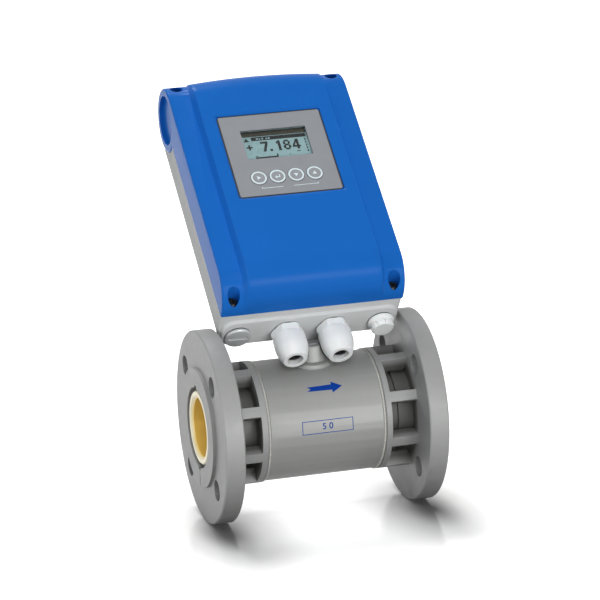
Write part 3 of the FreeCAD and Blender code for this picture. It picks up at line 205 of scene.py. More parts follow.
def blasted():
    """Cast stainless, bead blasted; inside the cage a painted shade darkens it, where little light gets in.
    """
    material = coated("blasted_stainless_casting", "#969796", "#8b8c8b", 7, 0.7, 0.035, 0.52, 0.06,
                      Metallic=0.2)
    tree, shader, place, open_tone = open_up(material)
    part = put(tree, "ShaderNodeSeparateXYZ", {0: place.outputs["Object"]})
    off_axis = put(tree, "ShaderNodeCombineXYZ", {"Y": part.outputs["Y"], "Z": part.outputs["Z"]})
    radius = put(tree, "ShaderNodeVectorMath", {0: off_axis.outputs[0]}, operation="LENGTH")
    # Painted shade: darker inward of the shell's radius, between the flanges' plates.
    inside = put(tree, "ShaderNodeMapRange",
                 {"Value": radius.outputs["Value"], "From Min": SHELL_RADIUS,
                  "From Max": SHELL_RADIUS - CAGE_SHADE_FADE}, interpolation_type="SMOOTHSTEP")
    along = put(tree, "ShaderNodeMath", {0: part.outputs["X"]}, operation="ABSOLUTE")
    plate_back = span("outlet_flange", ACROSS)[1] - PLATE_THICK
    caged = put(tree, "ShaderNodeMath", {0: along.outputs[0], 1: plate_back + CAGE_SHADE_PAST},
                operation="LESS_THAN")
    share = put(tree, "ShaderNodeMath", {0: inside.outputs[0], 1: caged.outputs[0]}, operation="MULTIPLY")
    tone = put(tree, "ShaderNodeMix", {0: share.outputs[0], 6: open_tone, 7: linear("#5c5c59")},
               data_type="RGBA")
    tree.links.new(tone.outputs[2], shader.inputs["Base Color"])
    return material


# Bead-blasted casting: even mid grey, dull and slightly sparkling; a painted shade darkens it inside the
# cage.
BLASTED = blasted()
# Ground tube: fine lines round the tube stretch its highlights along it.
TURNED = coated("ground_stainless_tube", "#90918f", "#8a8b89", 4, 0.5, 0.008, 0.48, 0.03,
                stretch=(1.0, 0.05, 0.05), Metallic=0.3)
# Weld metal: brighter than the tube and faintly straw, so that the seams show as thin pale lines.
WELD = coated("tig_weld_steel", "#b5b3ae", "#8a8781", 2, 0.6, 0.03, 0.38, 0.1, Metallic=0.85)
# Glazed ceramic: a cream rim round a honey-yellow bore, with a sharp gloss.
CERAMIC = ceramic()
# Moulded rubber: a black line that swallows the light.
RUBBER = coated("moulded_rubber", "#26272a", "#1a1b1d", 5, 0.6, 0.02, 0.65, 0.08)
# Matt powder coat of the rear casting: pale and soft, with a faint orange peel.
GREY_COAT = coated("grey_powder_coat", "#d0d2d2", "#c9cbcb", 20, 1.1, 0.03, 0.50, 0.05,
                   **{"Specular IOR Level": 0.005})
# Satin powder coat of the cover: clean deep blue with low, soft highlights on its curves.
BLUE_COAT = coated("blue_powder_coat", "#1b67c0", "#1864ba", 25, 1.2, 0.008, 0.26, 0.015,
                   **{"Specular IOR Level": 0.04})
# Screws in the cover's wells, painted near black for the shade deep in the wells: they catch only a thin
# glint.
SHADE_DARKENED_SCREW = coated("shade_darkened_screw_steel", "#2a2c30", "#1f2124", 2, 0.4, 0.01, 0.38, 0.08, Metallic=0.6)
# Zinc-plated screws and pins: bright, slightly mottled metal.
BRIGHT_SCREW = coated("bright_zinc_steel", "#a9abad", "#85878a", 2, 0.4, 0.01, 0.35, 0.08, Metallic=1.0)
# Matt film of the display plate: a flat cool grey that mirrors nothing.
PANEL_FILM = coated("matt_polyester_film", "#8a8d92", "#84878c", 12, 0.5, 0.008, 0.42, 0.04)
# The film over the keys: a touch lighter, so that each key reads as a disc.
KEY_FILM = coated("embossed_key_film", "#92959a", "#888b90", 6, 0.5, 0.01, 0.40, 0.05)
# Screen ink of rings, symbols and line: cool white, crisp against the film.
WHITE_INK = coated("white_screen_ink", "#dcebf0", "#cfe0e6", 3, 0.5, 0.004, 0.5, 0.05)
# Screen ink on the shell: a dark saturated blue, duller than the steel round it.
BLUE_INK = coated("blue_screen_ink", "#013c9a", "#01338a", 4, 0.5, 0.004, 0.45, 0.05,
                  **{"Specular IOR Level": 0.1})
# Ground of the liquid crystal: pale green-blue, even.
LCD_GLASS = coated("liquid_crystal_ground", "#abd0d4", "#a0c6ca", 10, 0.6, 0.004, 0.30, 0.04)
# Switched-on segments: near black with a green cast.
LCD_INK = coated("liquid_crystal_segment", "#1d2526", "#151b1c", 3, 0.5, 0.003, 0.35, 0.04)
# Upper edge of the crystal, in the shade of its frame: a brownish dark band.
LCD_SHADE = coated("shaded_liquid_crystal", "#4d4c42", "#38382f", 6, 0.5, 0.003, 0.35, 0.04)
# Thin clear acrylic: nearly all light passes, the rest is a sharp reflection.
PANE = coated("clear_acrylic", "#0c1012", "#080b0c", 12, 4, 0.001, 0.06, 0.02, Alpha=0.10)
# Moulded polyamide: off-white and waxy, with slightly lit edges.
GLAND_NYLON = coated("moulded_polyamide", "#eceeee", "#e5e8e8", 9, 0.8, 0.015, 0.42, 0.05,
                     **{"Subsurface Weight": 0.08, "Subsurface Scale": 2 * MM})
# Nickel plate on brass: pale metal with a soft shine.
PLUG_METAL = coated("nickel_plated_brass", "#c9cccd", "#bcbfc0", 3, 0.6, 0.01, 0.40, 0.06, Metallic=0.35)
# Compressed fibre sheet: grey like the casting round it, but flat.
FIBRE = coated("grey_fibre_sheet", "#8f9293", "#828586", 3, 0.5, 0.02, 0.6, 0.06)
# Laminated iron of the magnet: dark dull metal.
IRON = coated("laminated_iron", "#5d5e60", "#4b4c4e", 4, 0.5, 0.02, 0.5, 0.08, Metallic=0.6)
# Enamelled windings: warm copper, streaked along the wire.
COPPER = coated("enamelled_copper", "#b4622f", "#9a4d22", 2, 0.4, 0.03, 0.35, 0.06,
                stretch=(1, 1, 6), Metallic=0.8)
# Solder mask of the boards: glossy dark green.
BOARD = coated("solder_mask", "#1d6138", "#174f2d", 8, 0.8, 0.01, 0.35, 0.06)
# Black moulded plastic: soft charcoal with a dull sheen; it also colours the painted shade in the gap round
# the display plate.
BLACK_PLASTIC_AND_GAP_SHADE = coated("black_moulded_plastic_and_gap_shade", "#242527", "#1b1c1e", 6, 0.5, 0.012, 0.45, 0.06)
# Green moulded plastic of the terminals: plain mid green.
GREEN_PLASTIC = coated("green_moulded_plastic", "#2f8050", "#27713f", 6, 0.5, 0.012, 0.45, 0.06)

# --- Dressing the machined and moulded pieces ---------------------------------
PLATE_SHADOW_GAP = 1.3     # mm, round the display plate
PLATE_BORDER = 2 * MM      # what of the plate counts as its outer border
MERGE = 0.002 * MM         # points closer than this are one
FLAT_DEG = 0.3             # faces that meet flatter than this are one
CREASE_DEG = 30            # shallower creases are smoothed
COVER_CREASE_DEG = 17      # the cover's pocket has shallower creases that stay sharp
ROUNDING_STEPS = 2


def drawn_in(mesh, inset_mm):
    """Moves the outer border of a flat tilted plate in, so that a shadow gap shows round it."""
    for direction in (ACROSS, UP):
        reach = [vertex.co.dot(direction) for vertex in mesh.vertices]
        middle = (max(reach) + min(reach)) / 2
        border = (max(reach) - min(reach)) / 2 - PLATE_BORDER
        for vertex, place in zip(mesh.vertices, reach):
            if abs(place - middle) > border:
                vertex.co -= direction * math.copysign(inset_mm * MM, place - middle)


def dressed(node, finish, edge_mm, smooth_deg):
    """The node's own surface, merged and smooth, with its edges softened by edge_mm."""
    mesh = frame["nodes"][node].data.copy()
    if node == "display_plate":
        drawn_in(mesh, PLATE_SHADOW_GAP)
    shape = bmesh.new()
    shape.from_mesh(mesh)
    bmesh.ops.remove_doubles(shape, verts=shape.verts, dist=MERGE)
    bmesh.ops.dissolve_limit(shape, angle_limit=math.radians(FLAT_DEG), verts=shape.verts,
                             edges=shape.edges)
    shape.to_mesh(mesh)
    shape.free()
    mesh.shade_smooth()
    mesh.set_sharp_from_angle(angle=math.radians(smooth_deg))
    piece = bpy.data.objects.new(node + "_finished", mesh)
    bpy.context.scene.collection.objects.link(piece)
    if edge_mm:
        bevel = piece.modifiers.new("edge", "BEVEL")
        bevel.width = edge_mm * MM
        bevel.segments = ROUNDING_STEPS
        bevel.limit_method = "ANGLE"
        bevel.angle_limit = math.radians(smooth_deg)
        bevel.harden_normals = True
        graph = bpy.context.evaluated_depsgraph_get()
        softened = bpy.data.meshes.new_from_object(piece.evaluated_get(graph))
        piece.modifiers.clear()
        piece.data = softened
    piece.data.materials.clear()
    piece.data.materials.append(finish)
    body = frame["nodes"][node]["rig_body"]
    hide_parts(node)
    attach(piece, body)


def painted(node, finish):
    """Gives a carried-over node its finish."""
    materials = frame["nodes"][node].data.materials
    materials.clear()
    materials.append(finish)


# Finish of each replaced node, and how far its edges are rounded, in mm.
DRESSED = {
    "inlet_flange": (BLASTED, 0.5), "outlet_flange": (BLASTED, 0.5), "sensor_shell": (TURNED, 0.2),
    "measuring_tube": (CERAMIC, 0.4), "neck": (TURNED, 0.5), "rear_housing": (GREY_COAT, 0.5),
    "front_cover": (BLUE_COAT, 0.5), "display_plate": (PANEL_FILM, 0.15),
    "gland_body_left": (GLAND_NYLON, 0.3), "gland_body_right": (GLAND_NYLON, 0.3),
    "gland_nut_left": (GLAND_NYLON, 0.3), "gland_nut_right": (GLAND_NYLON, 0.3),
    "blind_plug": (PLUG_METAL, 0.3), "vent_plug": (GLAND_NYLON, 0.3), "cover_screws": (SHADE_DARKENED_SCREW, 0.15),
    **{key: (KEY_FILM, 0) for key in KEYS},
}
# Finish of each node that keeps its own surface.
PAINTED = {
    "inlet_seal_ring": RUBBER, "outlet_seal_ring": RUBBER, "upper_pole_shoe": IRON, "lower_pole_shoe": IRON,
    "upper_field_coil": COPPER, "lower_field_coil": COPPER, "magnet_yoke": IRON,
    "front_electrode": BRIGHT_SCREW, "rear_electrode": BRIGHT_SCREW, "neck_gasket": FIBRE,
    "neck_screws": BRIGHT_SCREW, "housing_seal": RUBBER, "display_window": PANE,
    "key_switches": BLACK_PLASTIC_AND_GAP_SHADE, "display_board": BOARD, "display_board_screws": BRIGHT_SCREW,
    "lcd_frame": BLACK_PLASTIC_AND_GAP_SHADE, "lcd_glass": LCD_GLASS, "main_board": BOARD,
    "main_board_screws": BRIGHT_SCREW, "power_transformer": BLACK_PLASTIC_AND_GAP_SHADE,
    "terminal_block": GREEN_PLASTIC, "capacitors": BLACK_PLASTIC_AND_GAP_SHADE, "gland_seal_left": RUBBER,
    "gland_seal_right": RUBBER, "entry_sealing_rings": RUBBER,
}
for node_name, (node_finish, softening) in DRESSED.items():
    dressed(node_name, node_finish, softening,
            COVER_CREASE_DEG if node_name == "front_cover" else CREASE_DEG)
for node_name, node_finish in PAINTED.items():
    painted(node_name, node_finish)

# --- Printed marks ------------------------------------------------------------
ROUND_SIDES = 64         # straight sides that stand for a circle
INK = 0.05               # how far printed ink stands proud, mm
SINK = 0.03              # how far ink reaches into its ground, mm
SAME_POINT = 1e-5        # mm
BEND_STEP = 1.0          # artwork on the shell is cut into strips this wide, mm
BEND_REACH = 6.0         # artwork on the shell reaches no farther from its middle, mm
KEY_RING = 1.4           # width of the ring on a key, mm
KEY_RIM = 1.0            # bare rim of a key outside its ring, mm
ARROW_DEG = 39.0         # where the arrow sits on the shell, above level
SIZE_MARK_DEG = 2.0      # and the framed figures


def add_area(shape, outline):
    """A closed prism over a flat outline of (x, y) points, in mm."""
    low = [shape.verts.new((x, y, -SINK)) for x, y in outline]
    high = [shape.verts.new((x, y, INK)) for x, y in outline]
    shape.faces.new(low[::-1])
    shape.faces.new(high)
    for i in range(len(outline)):
        j = (i + 1) % len(outline)
        shape.faces.new((low[i], low[j], high[j], high[i]))


def add_bar(shape, x0, x1, y0, y1):
    """A closed bar over a flat rectangle, in mm."""
    add_area(shape, [(x0, y0), (x1, y0), (x1, y1), (x0, y1)])


def add_ring(shape, inner, outer):
    """A closed ring with a rectangular section round the origin."""
    loops = []
    for i in range(ROUND_SIDES):
        angle = 2 * math.pi * i / ROUND_SIDES
        x, y = math.cos(angle), math.sin(angle)
        loops.append([shape.verts.new((r * x, r * y, z))
                      for r, z in ((inner, -SINK), (outer, -SINK), (outer, INK), (inner, INK))])
    for i in range(ROUND_SIDES):
        here, there = loops[i], loops[(i + 1) % ROUND_SIDES]
        for k in range(4):
            m = (k + 1) % 4
            shape.faces.new((here[k], there[k], there[m], here[m]))


def add_text(shape, text, size_mm, weight):
    """Upright figures, centred on the origin, with their strokes thickened by weight."""
    curve = bpy.data.curves.new("figures", "FONT")
    curve.body = text
    curve.size = size_mm
    curve.offset = weight
    curve.align_x = "CENTER"
    curve.align_y = "CENTER"
    curve.extrude = (INK + SINK) / 2
    carrier = bpy.data.objects.new("figures", curve)
    bpy.context.scene.collection.objects.link(carrier)
    graph = bpy.context.evaluated_depsgraph_get()
    mesh = bpy.data.meshes.new_from_object(carrier.evaluated_get(graph))
    for vertex in mesh.vertices:
        vertex.co.z += (INK - SINK) / 2
    shape.from_mesh(mesh)
    bpy.data.objects.remove(carrier)


def slice_across(shape):
    """Cuts flat artwork into strips, so that it can bend round the shell."""
    for i in range(1, int(2 * BEND_REACH / BEND_STEP)):
        level = -BEND_REACH + i * BEND_STEP
        parts = list(shape.verts) + list(shape.edges) + list(shape.faces)
        bmesh.ops.bisect_plane(shape, geom=parts, plane_co=(0, level, 0), plane_no=(0, 1, 0))


def printed(name, shape, place, finish, body):
    """Puts flat artwork in its place and gives it its ink."""
    bmesh.ops.remove_doubles(shape, verts=shape.verts, dist=SAME_POINT)
    for vertex in shape.verts:
        vertex.co = place(*vertex.co)
    bmesh.ops.recalc_face_normals(shape, faces=shape.faces)
    mesh = bpy.data.meshes.new(name)
    shape.to_mesh(mesh)
    shape.free()
    mesh.materials.append(finish)
    piece = bpy.data.objects.new(name, mesh)
    bpy.context.scene.collection.objects.link(piece)
    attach(piece, body)


# Symbols on the keys, as filled areas of (x, y) points in mm.
KEY_SYMBOLS = {
    "key_right": [[(-1.3, -2.0), (2.0, 0.0), (-1.3, 2.0)]],
    "key_enter": [[(-2.4, -0.8), (-0.6, -2.4), (-0.6, 0.8)],
                  [(-0.7, -1.2), (2.2, -1.2), (2.2, -0.4), (-0.7, -0.4)],
                  [(1.4, -0.5), (2.2, -0.5), (2.2, 1.8), (1.4, 1.8)]],
    "key_down": [[(-2.0, 1.2), (0.0, -2.0), (2.0, 1.2)]],
    "key_up": [[(-2.0, -1.2), (2.0, -1.2), (0.0, 2.0)]],
}


def key_marks():
    """A white ring and a plain symbol on each key."""
    low, high = span(KEYS[0], ACROSS)
    outer = (high - low) / 2 / MM - KEY_RIM
    for key, outlines in KEY_SYMBOLS.items():
        shape = bmesh.new()
        add_ring(shape, outer - KEY_RING, outer)
        for outline in outlines:
            add_area(shape, outline)
        printed(key + "_mark", shape, on_face(key), WHITE_INK, key)


# A dark strip of painted shade in the gap round the display plate, in mm.
GAP_SHADE_DEPTH = 0.45        # below the plate's face
GAP_SHADE_PLAY = 0.15         # off the pocket's wall
GAP_SHADE_UNDER = 0.2         # under the plate's edge
GAP_SHADE_CORNER = 2.5        # left free at the rounded corners


def plate_gap_shade():
    """A dark strip of painted shade, seen in the gap between plate and pocket."""
    shape = bmesh.new()
    across, up = (span("display_plate", way) for way in (ACROSS, UP))
    wide = (across[1] - across[0]) / 2 / MM
    high = (up[1] - up[0]) / 2 / MM
    outer, inner, corner = GAP_SHADE_PLAY, PLATE_SHADOW_GAP + GAP_SHADE_UNDER, GAP_SHADE_CORNER
    for side in (-1, 1):
        y0, y1 = sorted((side * (high - inner), side * (high - outer)))
        add_bar(shape, -wide + corner, wide - corner, y0, y1)
        x0, x1 = sorted((side * (wide - inner), side * (wide - outer)))
        add_bar(shape, x0, x1, -high + corner, high - corner)
    printed("display_plate_gap_shade", shape, on_face("display_plate", -GAP_SHADE_DEPTH), BLACK_PLASTIC_AND_GAP_SHADE, METER)


def bracket_mark():
    """The line under the keys, open in the middle, with a tick up at each outer end."""
    shape = bmesh.new()
    low, tick, wide, lap = -36.9, 1.6, 0.5, 0.01
    for x0, x1, end in ((-24.5, -6.0, -24.5), (3.5, 25.5, 25.0)):
        add_bar(shape, x0, x1, low, low + wide)
        add_bar(shape, end, end + wide, low + wide - lap, low + tick)
    printed("key_bracket_mark", shape, on_face("display_plate"), WHITE_INK, METER)


# Figures of the reading, each 10 mm high, as filled areas of (x, y) points.
FIGURES = {
    "seven": [[(0, 8.0), (6.6, 8.0), (6.6, 10), (0, 10)], [(1.0, 0), (3.5, 0), (6.6, 8.0), (4.2, 8.0)]],
    "one": [[(1.7, 0), (4.1, 0), (4.1, 10), (2.5, 10), (0.4, 8.4), (0.4, 6.6), (1.7, 7.3)]],
    "eight": [[(1.2, 8.3), (5.4, 8.3), (5.0, 10), (1.6, 10)],
              [(2.2, 4.3), (4.4, 4.3), (4.4, 5.9), (2.2, 5.9)],
              [(1.6, 0), (5.0, 0), (5.4, 1.7), (1.2, 1.7)],
              [(0.2, 5.8), (2.2, 5.1), (2.2, 8.3), (0.2, 8.3)],
              [(4.4, 5.1), (6.4, 5.8), (6.4, 8.3), (4.4, 8.3)], [(0, 1.7), (2.2, 1.7), (2.2, 5.1), (0, 4.4)],
              [(4.4, 1.7), (6.6, 1.7), (6.6, 4.4), (4.4, 5.1)]],
    "four": [[(3.7, 0), (5.9, 0), (5.9, 10), (3.7, 10)], [(0, 1.9), (3.7, 1.9), (3.7, 3.7), (0, 3.7)],
             [(5.9, 1.9), (7.1, 1.9), (7.1, 3.7), (5.9, 3.7)], [(0, 3.7), (2.1, 3.7), (3.7, 7.0), (3.7, 10)]],
}
# Left edge of each figure, foot of all of them, and how much taller than drawn they are.
FIGURE_PLACES = (("seven", -13.6), ("one", -0.2), ("eight", 6.2), ("four", 14.2))
FIGURE_BASE = -6.4
FIGURE_STRETCH = 1.1
# Bars of the reading: x from and to, y from and to, in mm from the middle of the glass.
READING_BARS = (
    (-26.6, -21.0, -1.5, 0.0), (-24.6, -23.0, 0.0, 2.1), (-24.6, -23.0, -3.6, -1.5),    # plus sign
    (-6.4, -4.0, FIGURE_BASE, FIGURE_BASE + 2.3),                                       # decimal point
    (-21.0, -0.6, -14.0, -12.0), (-1.9, -0.6, -12.1, -9.8), (-20.6, -18.2, -11.4, -10.7),    # scale
    (9.6, 10.6, -12.0, -11.2), (16.6, 20.0, -9.2, -8.4),                                # dashes
)
STATUS_SIGN = ((-27.4, 5.6), (-22.6, 5.6), (-25.0, 9.6))
TOP_TICK = (26.0, 27.1, 2.4, 4.6)                     # the uppermost of the ticks at the right
TICKS, TICK_STEP = 5, 3.2
HEADER_BAR = (-20.5, 28.0, 6.2, 10.2)
SHADED_BAR = (-29.0, 29.0, 10.8, 16.5)
HEADER_LETTERS = (-16.0, -13.8, -11.2, -7.6, -5.4)    # left edge of each block that stands for a letter
LETTER_WIDTH, LETTER_FOOT, LETTER_TOP, LETTER_DROP = 1.5, 7.2, 8.9, 0.5


def reading():
    """The figures and bars that the liquid crystal shows, and a painted shade along its upper edge."""
    place = on_face("lcd_glass")
    shape = bmesh.new()
    for bar in READING_BARS:
        add_bar(shape, *bar)
    for figure, x in FIGURE_PLACES:
        for outline in FIGURES[figure]:
            add_area(shape, [(x + px, FIGURE_BASE + FIGURE_STRETCH * py) for px, py in outline])
    x0, x1, y0, y1 = TOP_TICK
    for i in range(TICKS):
        add_bar(shape, x0, x1, y0 - TICK_STEP * i, y1 - TICK_STEP * i)
    add_area(shape, STATUS_SIGN)
    printed("lcd_reading", shape, place, LCD_INK, METER)
    shape = bmesh.new()
    for i, x in enumerate(HEADER_LETTERS):
        add_bar(shape, x, x + LETTER_WIDTH, LETTER_FOOT, LETTER_TOP - LETTER_DROP * (i % 2))
    printed("lcd_header_letters", shape, on_face("lcd_glass", INK + SINK), LCD_GLASS, METER)
    shape = bmesh.new()
    add_bar(shape, *HEADER_BAR)
    printed("lcd_header", shape, place, LCD_INK, METER)
    shape = bmesh.new()
    add_bar(shape, *SHADED_BAR)
    printed("lcd_shade", shape, place, LCD_SHADE, METER)


def flow_arrow():
    """Blue arrow along the flow, with a notched tail, printed on the shell."""
    shape = bmesh.new()
    add_area(shape, [(-13.5, -2.0), (8.0, -2.4), (8.0, -5.0), (17.3, 0.3), (8.0, 5.2), (8.0, 2.6),
                     (-13.5, 2.0), (-10.4, 0.0)])
    slice_across(shape)
    printed("flow_arrow", shape, on_shell(ARROW_DEG), BLUE_INK, METER)


def size_mark():
    """Framed plain figures, the nominal bore in millimetres, printed on the shell."""
    shape = bmesh.new()
    half_wide, half_high, line = 22.3, 5.7, 0.6
    figure_high, figure_weight = 7.5, 0.1
    add_bar(shape, -half_wide, half_wide, half_high - line, half_high)
    add_bar(shape, -half_wide, half_wide, -half_high, -half_high + line)
    for x in (-half_wide, half_wide - line):
        add_bar(shape, x, x + line, -half_high + line, half_high - line)
    add_text(shape, "5 0", figure_high, figure_weight)
    slice_across(shape)
    printed("size_mark", shape, on_shell(SIZE_MARK_DEG), BLUE_INK, METER)


key_marks()
plate_gap_shade()
bracket_mark()
reading()
flow_arrow()
size_mark()


# --- Weld beads ---------------------------------------------------------------
BEAD_STRETCH = (1.25, 1.0, 0.9)     # a bead is longer along the tube than it is high
BEADS_PER_RING = 190
BEAD_RADIUS = 1.1 * MM
SEAM_INSET = 1.6 * MM               # from the shell's end to the middle of its weld


def bead_tree():
    """Rings of overlapping beads: each ring stands at a place along the tube."""
    tree = bpy.data.node_groups.new("weld_beads", "GeometryNodeTree")
    for name, kind in (("Ring radius", "NodeSocketFloat"), ("Ring place", "NodeSocketFloat"),
                       ("Bead size", "NodeSocketFloat"), ("Beads", "NodeSocketInt"),
                       ("Finish", "NodeSocketMaterial")):
        tree.interface.new_socket(name, in_out="INPUT", socket_type=kind)
    tree.interface.new_socket("Geometry", in_out="OUTPUT", socket_type="NodeSocketGeometry")
    sizes = put(tree, "NodeGroupInput").outputs
    circle = put(tree, "GeometryNodeMeshCircle", {"Vertices": sizes["Beads"], "Radius": sizes["Ring radius"]})
    upright = put(tree, "GeometryNodeTransform", {"Geometry": circle.outputs[0],
                                                  "Rotation": (0, math.pi / 2, 0)})
    mirror = put(tree, "ShaderNodeMath", {0: sizes["Ring place"], 1: -1.0}, operation="MULTIPLY")
    ends = []
    for place in (sizes["Ring place"], mirror.outputs[0]):
        offset = put(tree, "ShaderNodeCombineXYZ", {"X": place})
        ends.append(put(tree, "GeometryNodeTransform",
                        {"Geometry": upright.outputs[0], "Translation": offset.outputs[0]}))
    rings = put(tree, "GeometryNodeJoinGeometry")
    for end in ends:
        tree.links.new(end.outputs[0], rings.inputs[0])
    bead = put(tree, "GeometryNodeMeshIcoSphere", {"Radius": sizes["Bead size"], "Subdivisions": 2})
    laid = put(tree, "GeometryNodeInstanceOnPoints", {"Points": rings.outputs[0], "Instance": bead.outputs[0],
                                                      "Scale": BEAD_STRETCH})
    solid = put(tree, "GeometryNodeRealizeInstances", {"Geometry": laid.outputs[0]})
    smooth = put(tree, "GeometryNodeSetShadeSmooth", {"Geometry": solid.outputs[0]})
    finished = put(tree, "GeometryNodeSetMaterial",
                   {"Geometry": smooth.outputs[0], "Material": sizes["Finish"]})
    put(tree, "NodeGroupOutput", {"Geometry": finished.outputs[0]})
    return tree


def weld_beads():
    """The beads of both seams, as one mesh."""
    tree = bead_tree()
    carrier = bpy.data.objects.new("weld_carrier", bpy.data.meshes.new("weld_carrier"))
    bpy.context.scene.collection.objects.link(carrier)
    modifier = carrier.modifiers.new("beads", "NODES")
    modifier.node_group = tree
    values = {"Ring radius": SHELL_RADIUS, "Ring place": SHELL_HALF - SEAM_INSET,
              "Bead size": BEAD_RADIUS, "Beads": BEADS_PER_RING, "Finish": WELD}
    for item in tree.interface.items_tree:
        if item.item_type == "SOCKET" and item.in_out == "INPUT":
            modifier[item.identifier] = values[item.name]
    graph = bpy.context.evaluated_depsgraph_get()
    mesh = bpy.data.meshes.new_from_object(carrier.evaluated_get(graph))
    bpy.data.objects.remove(carrier)
    piece = bpy.data.objects.new("shell_weld_beads", mesh)
    bpy.context.scene.collection.objects.link(piece)
    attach(piece, METER)


weld_beads()


# --- Studio -------------------------------------------------------------------
FLOOR_RADIUS = 12.0                  # m
FLOOR_ROUGHNESS = 0.16
FLOOR_SPECULAR = 0.5
FLOOR_WHITE = "#f6f6f6"              # as it is seen
FLOOR_SHADE = "#787878"              # as it is seen in the shade painted by each flange's foot
BOUNCE_DARK = "#3c3c3c"              # as it throws light back: a painted shade under the meter
BOUNCE_LIGHT = "#b0b0b0"             # and farther off
BOUNCE_FADE = (0.07, 0.24)           # distances from the middle, m
GLOW_FADE = (0.15, 0.9)              # the same for the white glow
GLOW_NEAR = 0.55                     # share of the white glow at the meter's own place
SHADE_FADE = (0.002, 0.030)          # distances from the middle of a foot's painted shade, m
GLOW_CLEARS = (0.012, 0.07)          # the same, over which the white glow sets in
SHADE_AHEAD = 45 * MM                # the shade lies in front of the foot
SHADE_SQUEEZE = 0.4                  # and is this much shorter across than along Y
WORLD_LEVEL = 0.26                   # what the world gives the object


def looked_at(tree):
    """One for rays that come from the camera, directly or by way of metal or glass."""
    ray = put(tree, "ShaderNodeLightPath")
    direct = put(tree, "ShaderNodeMath", {0: ray.outputs["Is Camera Ray"], 1: ray.outputs["Is Glossy Ray"]},
                 operation="MAXIMUM")
    either = put(tree, "ShaderNodeMath", {0: direct.outputs[0], 1: ray.outputs["Is Transmission Ray"]},
                 operation="MAXIMUM")
    return either.outputs[0]


def faded(tree, distance, reach, low=0.0, high=1.0, **settings):
    """Goes from low to high as a distance goes through a reach."""
    return put(tree, "ShaderNodeMapRange", {"Value": distance, "From Min": reach[0], "From Max": reach[1],
                                            "To Min": low, "To Max": high}, **settings).outputs[0]


def from_foot(tree, place):
    """Distance on the floor from the painted shade of the nearer flange's foot."""
    part = put(tree, "ShaderNodeSeparateXYZ", {0: place})
    side = put(tree, "ShaderNodeMath", {0: part.outputs["X"]}, operation="ABSOLUTE")
    foot = put(tree, "ShaderNodeMath", {0: side.outputs[0], 1: FOOT_X}, operation="SUBTRACT")
    ahead = put(tree, "ShaderNodeMath", {0: part.outputs["Y"], 1: SHADE_AHEAD}, operation="ADD")
    along = put(tree, "ShaderNodeMath", {0: ahead.outputs[0], 1: SHADE_SQUEEZE}, operation="MULTIPLY")
    near = put(tree, "ShaderNodeCombineXYZ", {"X": foot.outputs[0], "Y": along.outputs[0]})
    return put(tree, "ShaderNodeVectorMath", {0: near.outputs[0]}, operation="LENGTH").outputs["Value"]


def floor_paint():
    """Pale floor: it keeps the shadow, has a shade painted by each foot and a painted shade under the meter
    in the light it throws back, and shows white farther off.
    """
    material = bpy.data.materials.new("studio_floor")
    material.use_nodes = True
    tree = material.node_tree
    tree.nodes.clear()
    soft = {"interpolation_type": "SMOOTHSTEP"}
    seen = looked_at(tree)
    place = put(tree, "ShaderNodeTexCoord").outputs["Object"]
    away = put(tree, "ShaderNodeVectorMath", {0: place}, operation="LENGTH").outputs["Value"]
    gap = from_foot(tree, place)
    bounce = put(tree, "ShaderNodeMix", {0: faded(tree, away, BOUNCE_FADE, **soft), 6: linear(BOUNCE_DARK),
                                         7: linear(BOUNCE_LIGHT)}, data_type="RGBA")
    open_floor = faded(tree, gap, SHADE_FADE, **soft)
    shown = put(tree, "ShaderNodeMix", {0: open_floor, 6: linear(FLOOR_SHADE), 7: linear(FLOOR_WHITE)},
                data_type="RGBA")
    tone = put(tree, "ShaderNodeMix", {0: seen, 6: bounce.outputs[2], 7: shown.outputs[2]},
               data_type="RGBA")
    shine = put(tree, "ShaderNodeMath", {0: open_floor, 1: FLOOR_SPECULAR}, operation="MULTIPLY")
    paint = put(tree, "ShaderNodeBsdfPrincipled",
                {"Base Color": tone.outputs[2], "Roughness": FLOOR_ROUGHNESS,
                 "Specular IOR Level": shine.outputs[0]})
    level = put(tree, "ShaderNodeMath", {0: faded(tree, away, GLOW_FADE, GLOW_NEAR),
                                         1: faded(tree, gap, GLOW_CLEARS, **soft)}, operation="MULTIPLY")
    lift = put(tree, "ShaderNodeMath", {0: seen, 1: level.outputs[0]}, operation="MULTIPLY")
    glow = put(tree, "ShaderNodeEmission", {"Strength": lift.outputs[0]})
    both = put(tree, "ShaderNodeAddShader", {0: paint.outputs[0], 1: glow.outputs[0]})
    put(tree, "ShaderNodeOutputMaterial", {"Surface": both.outputs[0]})
    return material


def studio_floor():
    """A round floor at the height that the flanges stand on."""
    mesh = bpy.data.meshes.new("floor")
    shape = bmesh.new()
    bmesh.ops.create_circle(shape, cap_ends=True, segments=ROUND_SIDES, radius=FLOOR_RADIUS)
    shape.to_mesh(mesh)
    shape.free()
    for vertex in mesh.vertices:
        vertex.co.z = CAD_BOX[0][2]
    mesh.materials.append(floor_paint())
    floor = bpy.data.objects.new("floor", mesh)
    bpy.context.scene.collection.objects.link(floor)


def studio_world():
    """White to look at, and a low even light on the object."""
    world = bpy.data.worlds.new("studio")
    bpy.context.scene.world = world
    world.use_nodes = True
    tree = world.node_tree
    tree.nodes.clear()
    level = put(tree, "ShaderNodeMapRange", {"Value": looked_at(tree), "To Min": WORLD_LEVEL, "To Max": 1.0})
    sky = put(tree, "ShaderNodeBackground", {"Color": (1, 1, 1, 1), "Strength": level.outputs[0]})
    put(tree, "ShaderNodeOutputWorld", {"Surface": sky.outputs[0]})


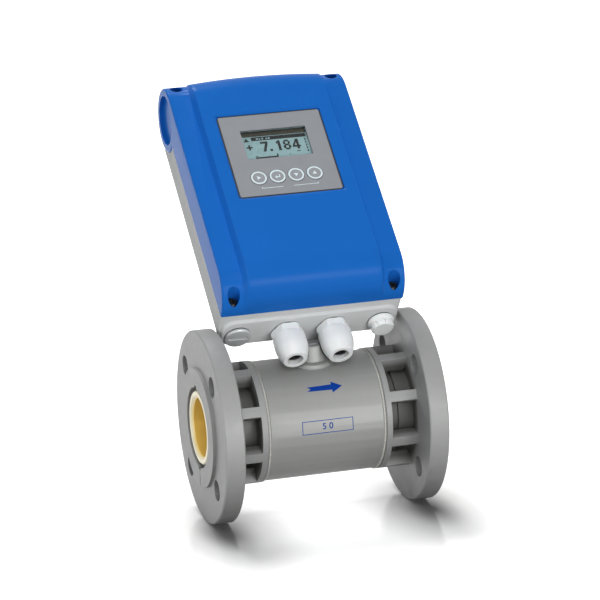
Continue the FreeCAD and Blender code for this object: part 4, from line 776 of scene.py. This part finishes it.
def soft_light(name, place, aim, size, power):
    """A round lamp turned to what it lights."""
    lamp = bpy.data.lights.new(name, "AREA")
    lamp.shape = "DISK"
    lamp.size = size
    lamp.energy = power
    holder = bpy.data.objects.new(name, lamp)
    holder.location = place
    holder.rotation_euler = (Vector(aim) - Vector(place)).to_track_quat("-Z", "Y").to_euler()
    bpy.context.scene.collection.objects.link(holder)


CAMERA_AROUND_DEG = 15.63            # to the left of straight in front
CAMERA_ABOVE_DEG = 12.03
CAMERA_ROLL_DEG = -2.74
CAMERA_AIM = Vector((1.07, 20.94, 95.96)) * MM
CAMERA_AWAY = 2785.5 * MM
CAMERA_LENS = 196.06                 # mm
CAMERA_SENSOR = 36.0                 # mm
CAMERA_REACH = 100.0                 # m


def camera():
    """Long lens from the front left, a little above the meter."""
    azimuth, elevation, roll = (math.radians(angle) for angle in
                                (CAMERA_AROUND_DEG, CAMERA_ABOVE_DEG, CAMERA_ROLL_DEG))
    look = Vector((math.sin(azimuth) * math.cos(elevation), math.cos(azimuth) * math.cos(elevation),
                   -math.sin(elevation)))
    level = Vector((math.cos(azimuth), -math.sin(azimuth), 0))
    upright = level.cross(look)
    right = level * math.cos(roll) + upright * math.sin(roll)
    up = upright * math.cos(roll) - level * math.sin(roll)
    lens = bpy.data.cameras.new("camera")
    lens.sensor_width = CAMERA_SENSOR
    lens.lens = CAMERA_LENS
    lens.clip_end = CAMERA_REACH
    holder = bpy.data.objects.new("camera", lens)
    turned = Matrix((right, up, -look)).transposed().to_4x4()
    holder.matrix_world = Matrix.Translation(CAMERA_AIM - look * CAMERA_AWAY) @ turned
    bpy.context.scene.collection.objects.link(holder)
    bpy.context.scene.camera = holder


# Name, place and aim in m, size in m, power in W.
LAMPS = (
    ("key_light", (-0.4, -1.9, 1.9), (0, 0, 0.1), 1.2, 18),
    ("fill_light", (0.5, -2.2, 0.10), (0, 0, 0.1), 1.1, 30),
    ("side_light", (-2.0, -0.6, 0.2), (0, 0, 0.0), 1.2, 12),
    ("top_light", (-0.1, 1.2, 2.1), (0, 0, 0.0), 0.7, 28),
)

studio_floor()
studio_world()
for lamp_values in LAMPS:
    soft_light(*lamp_values)
camera()
bpy.context.scene.view_settings.view_transform = "Standard"
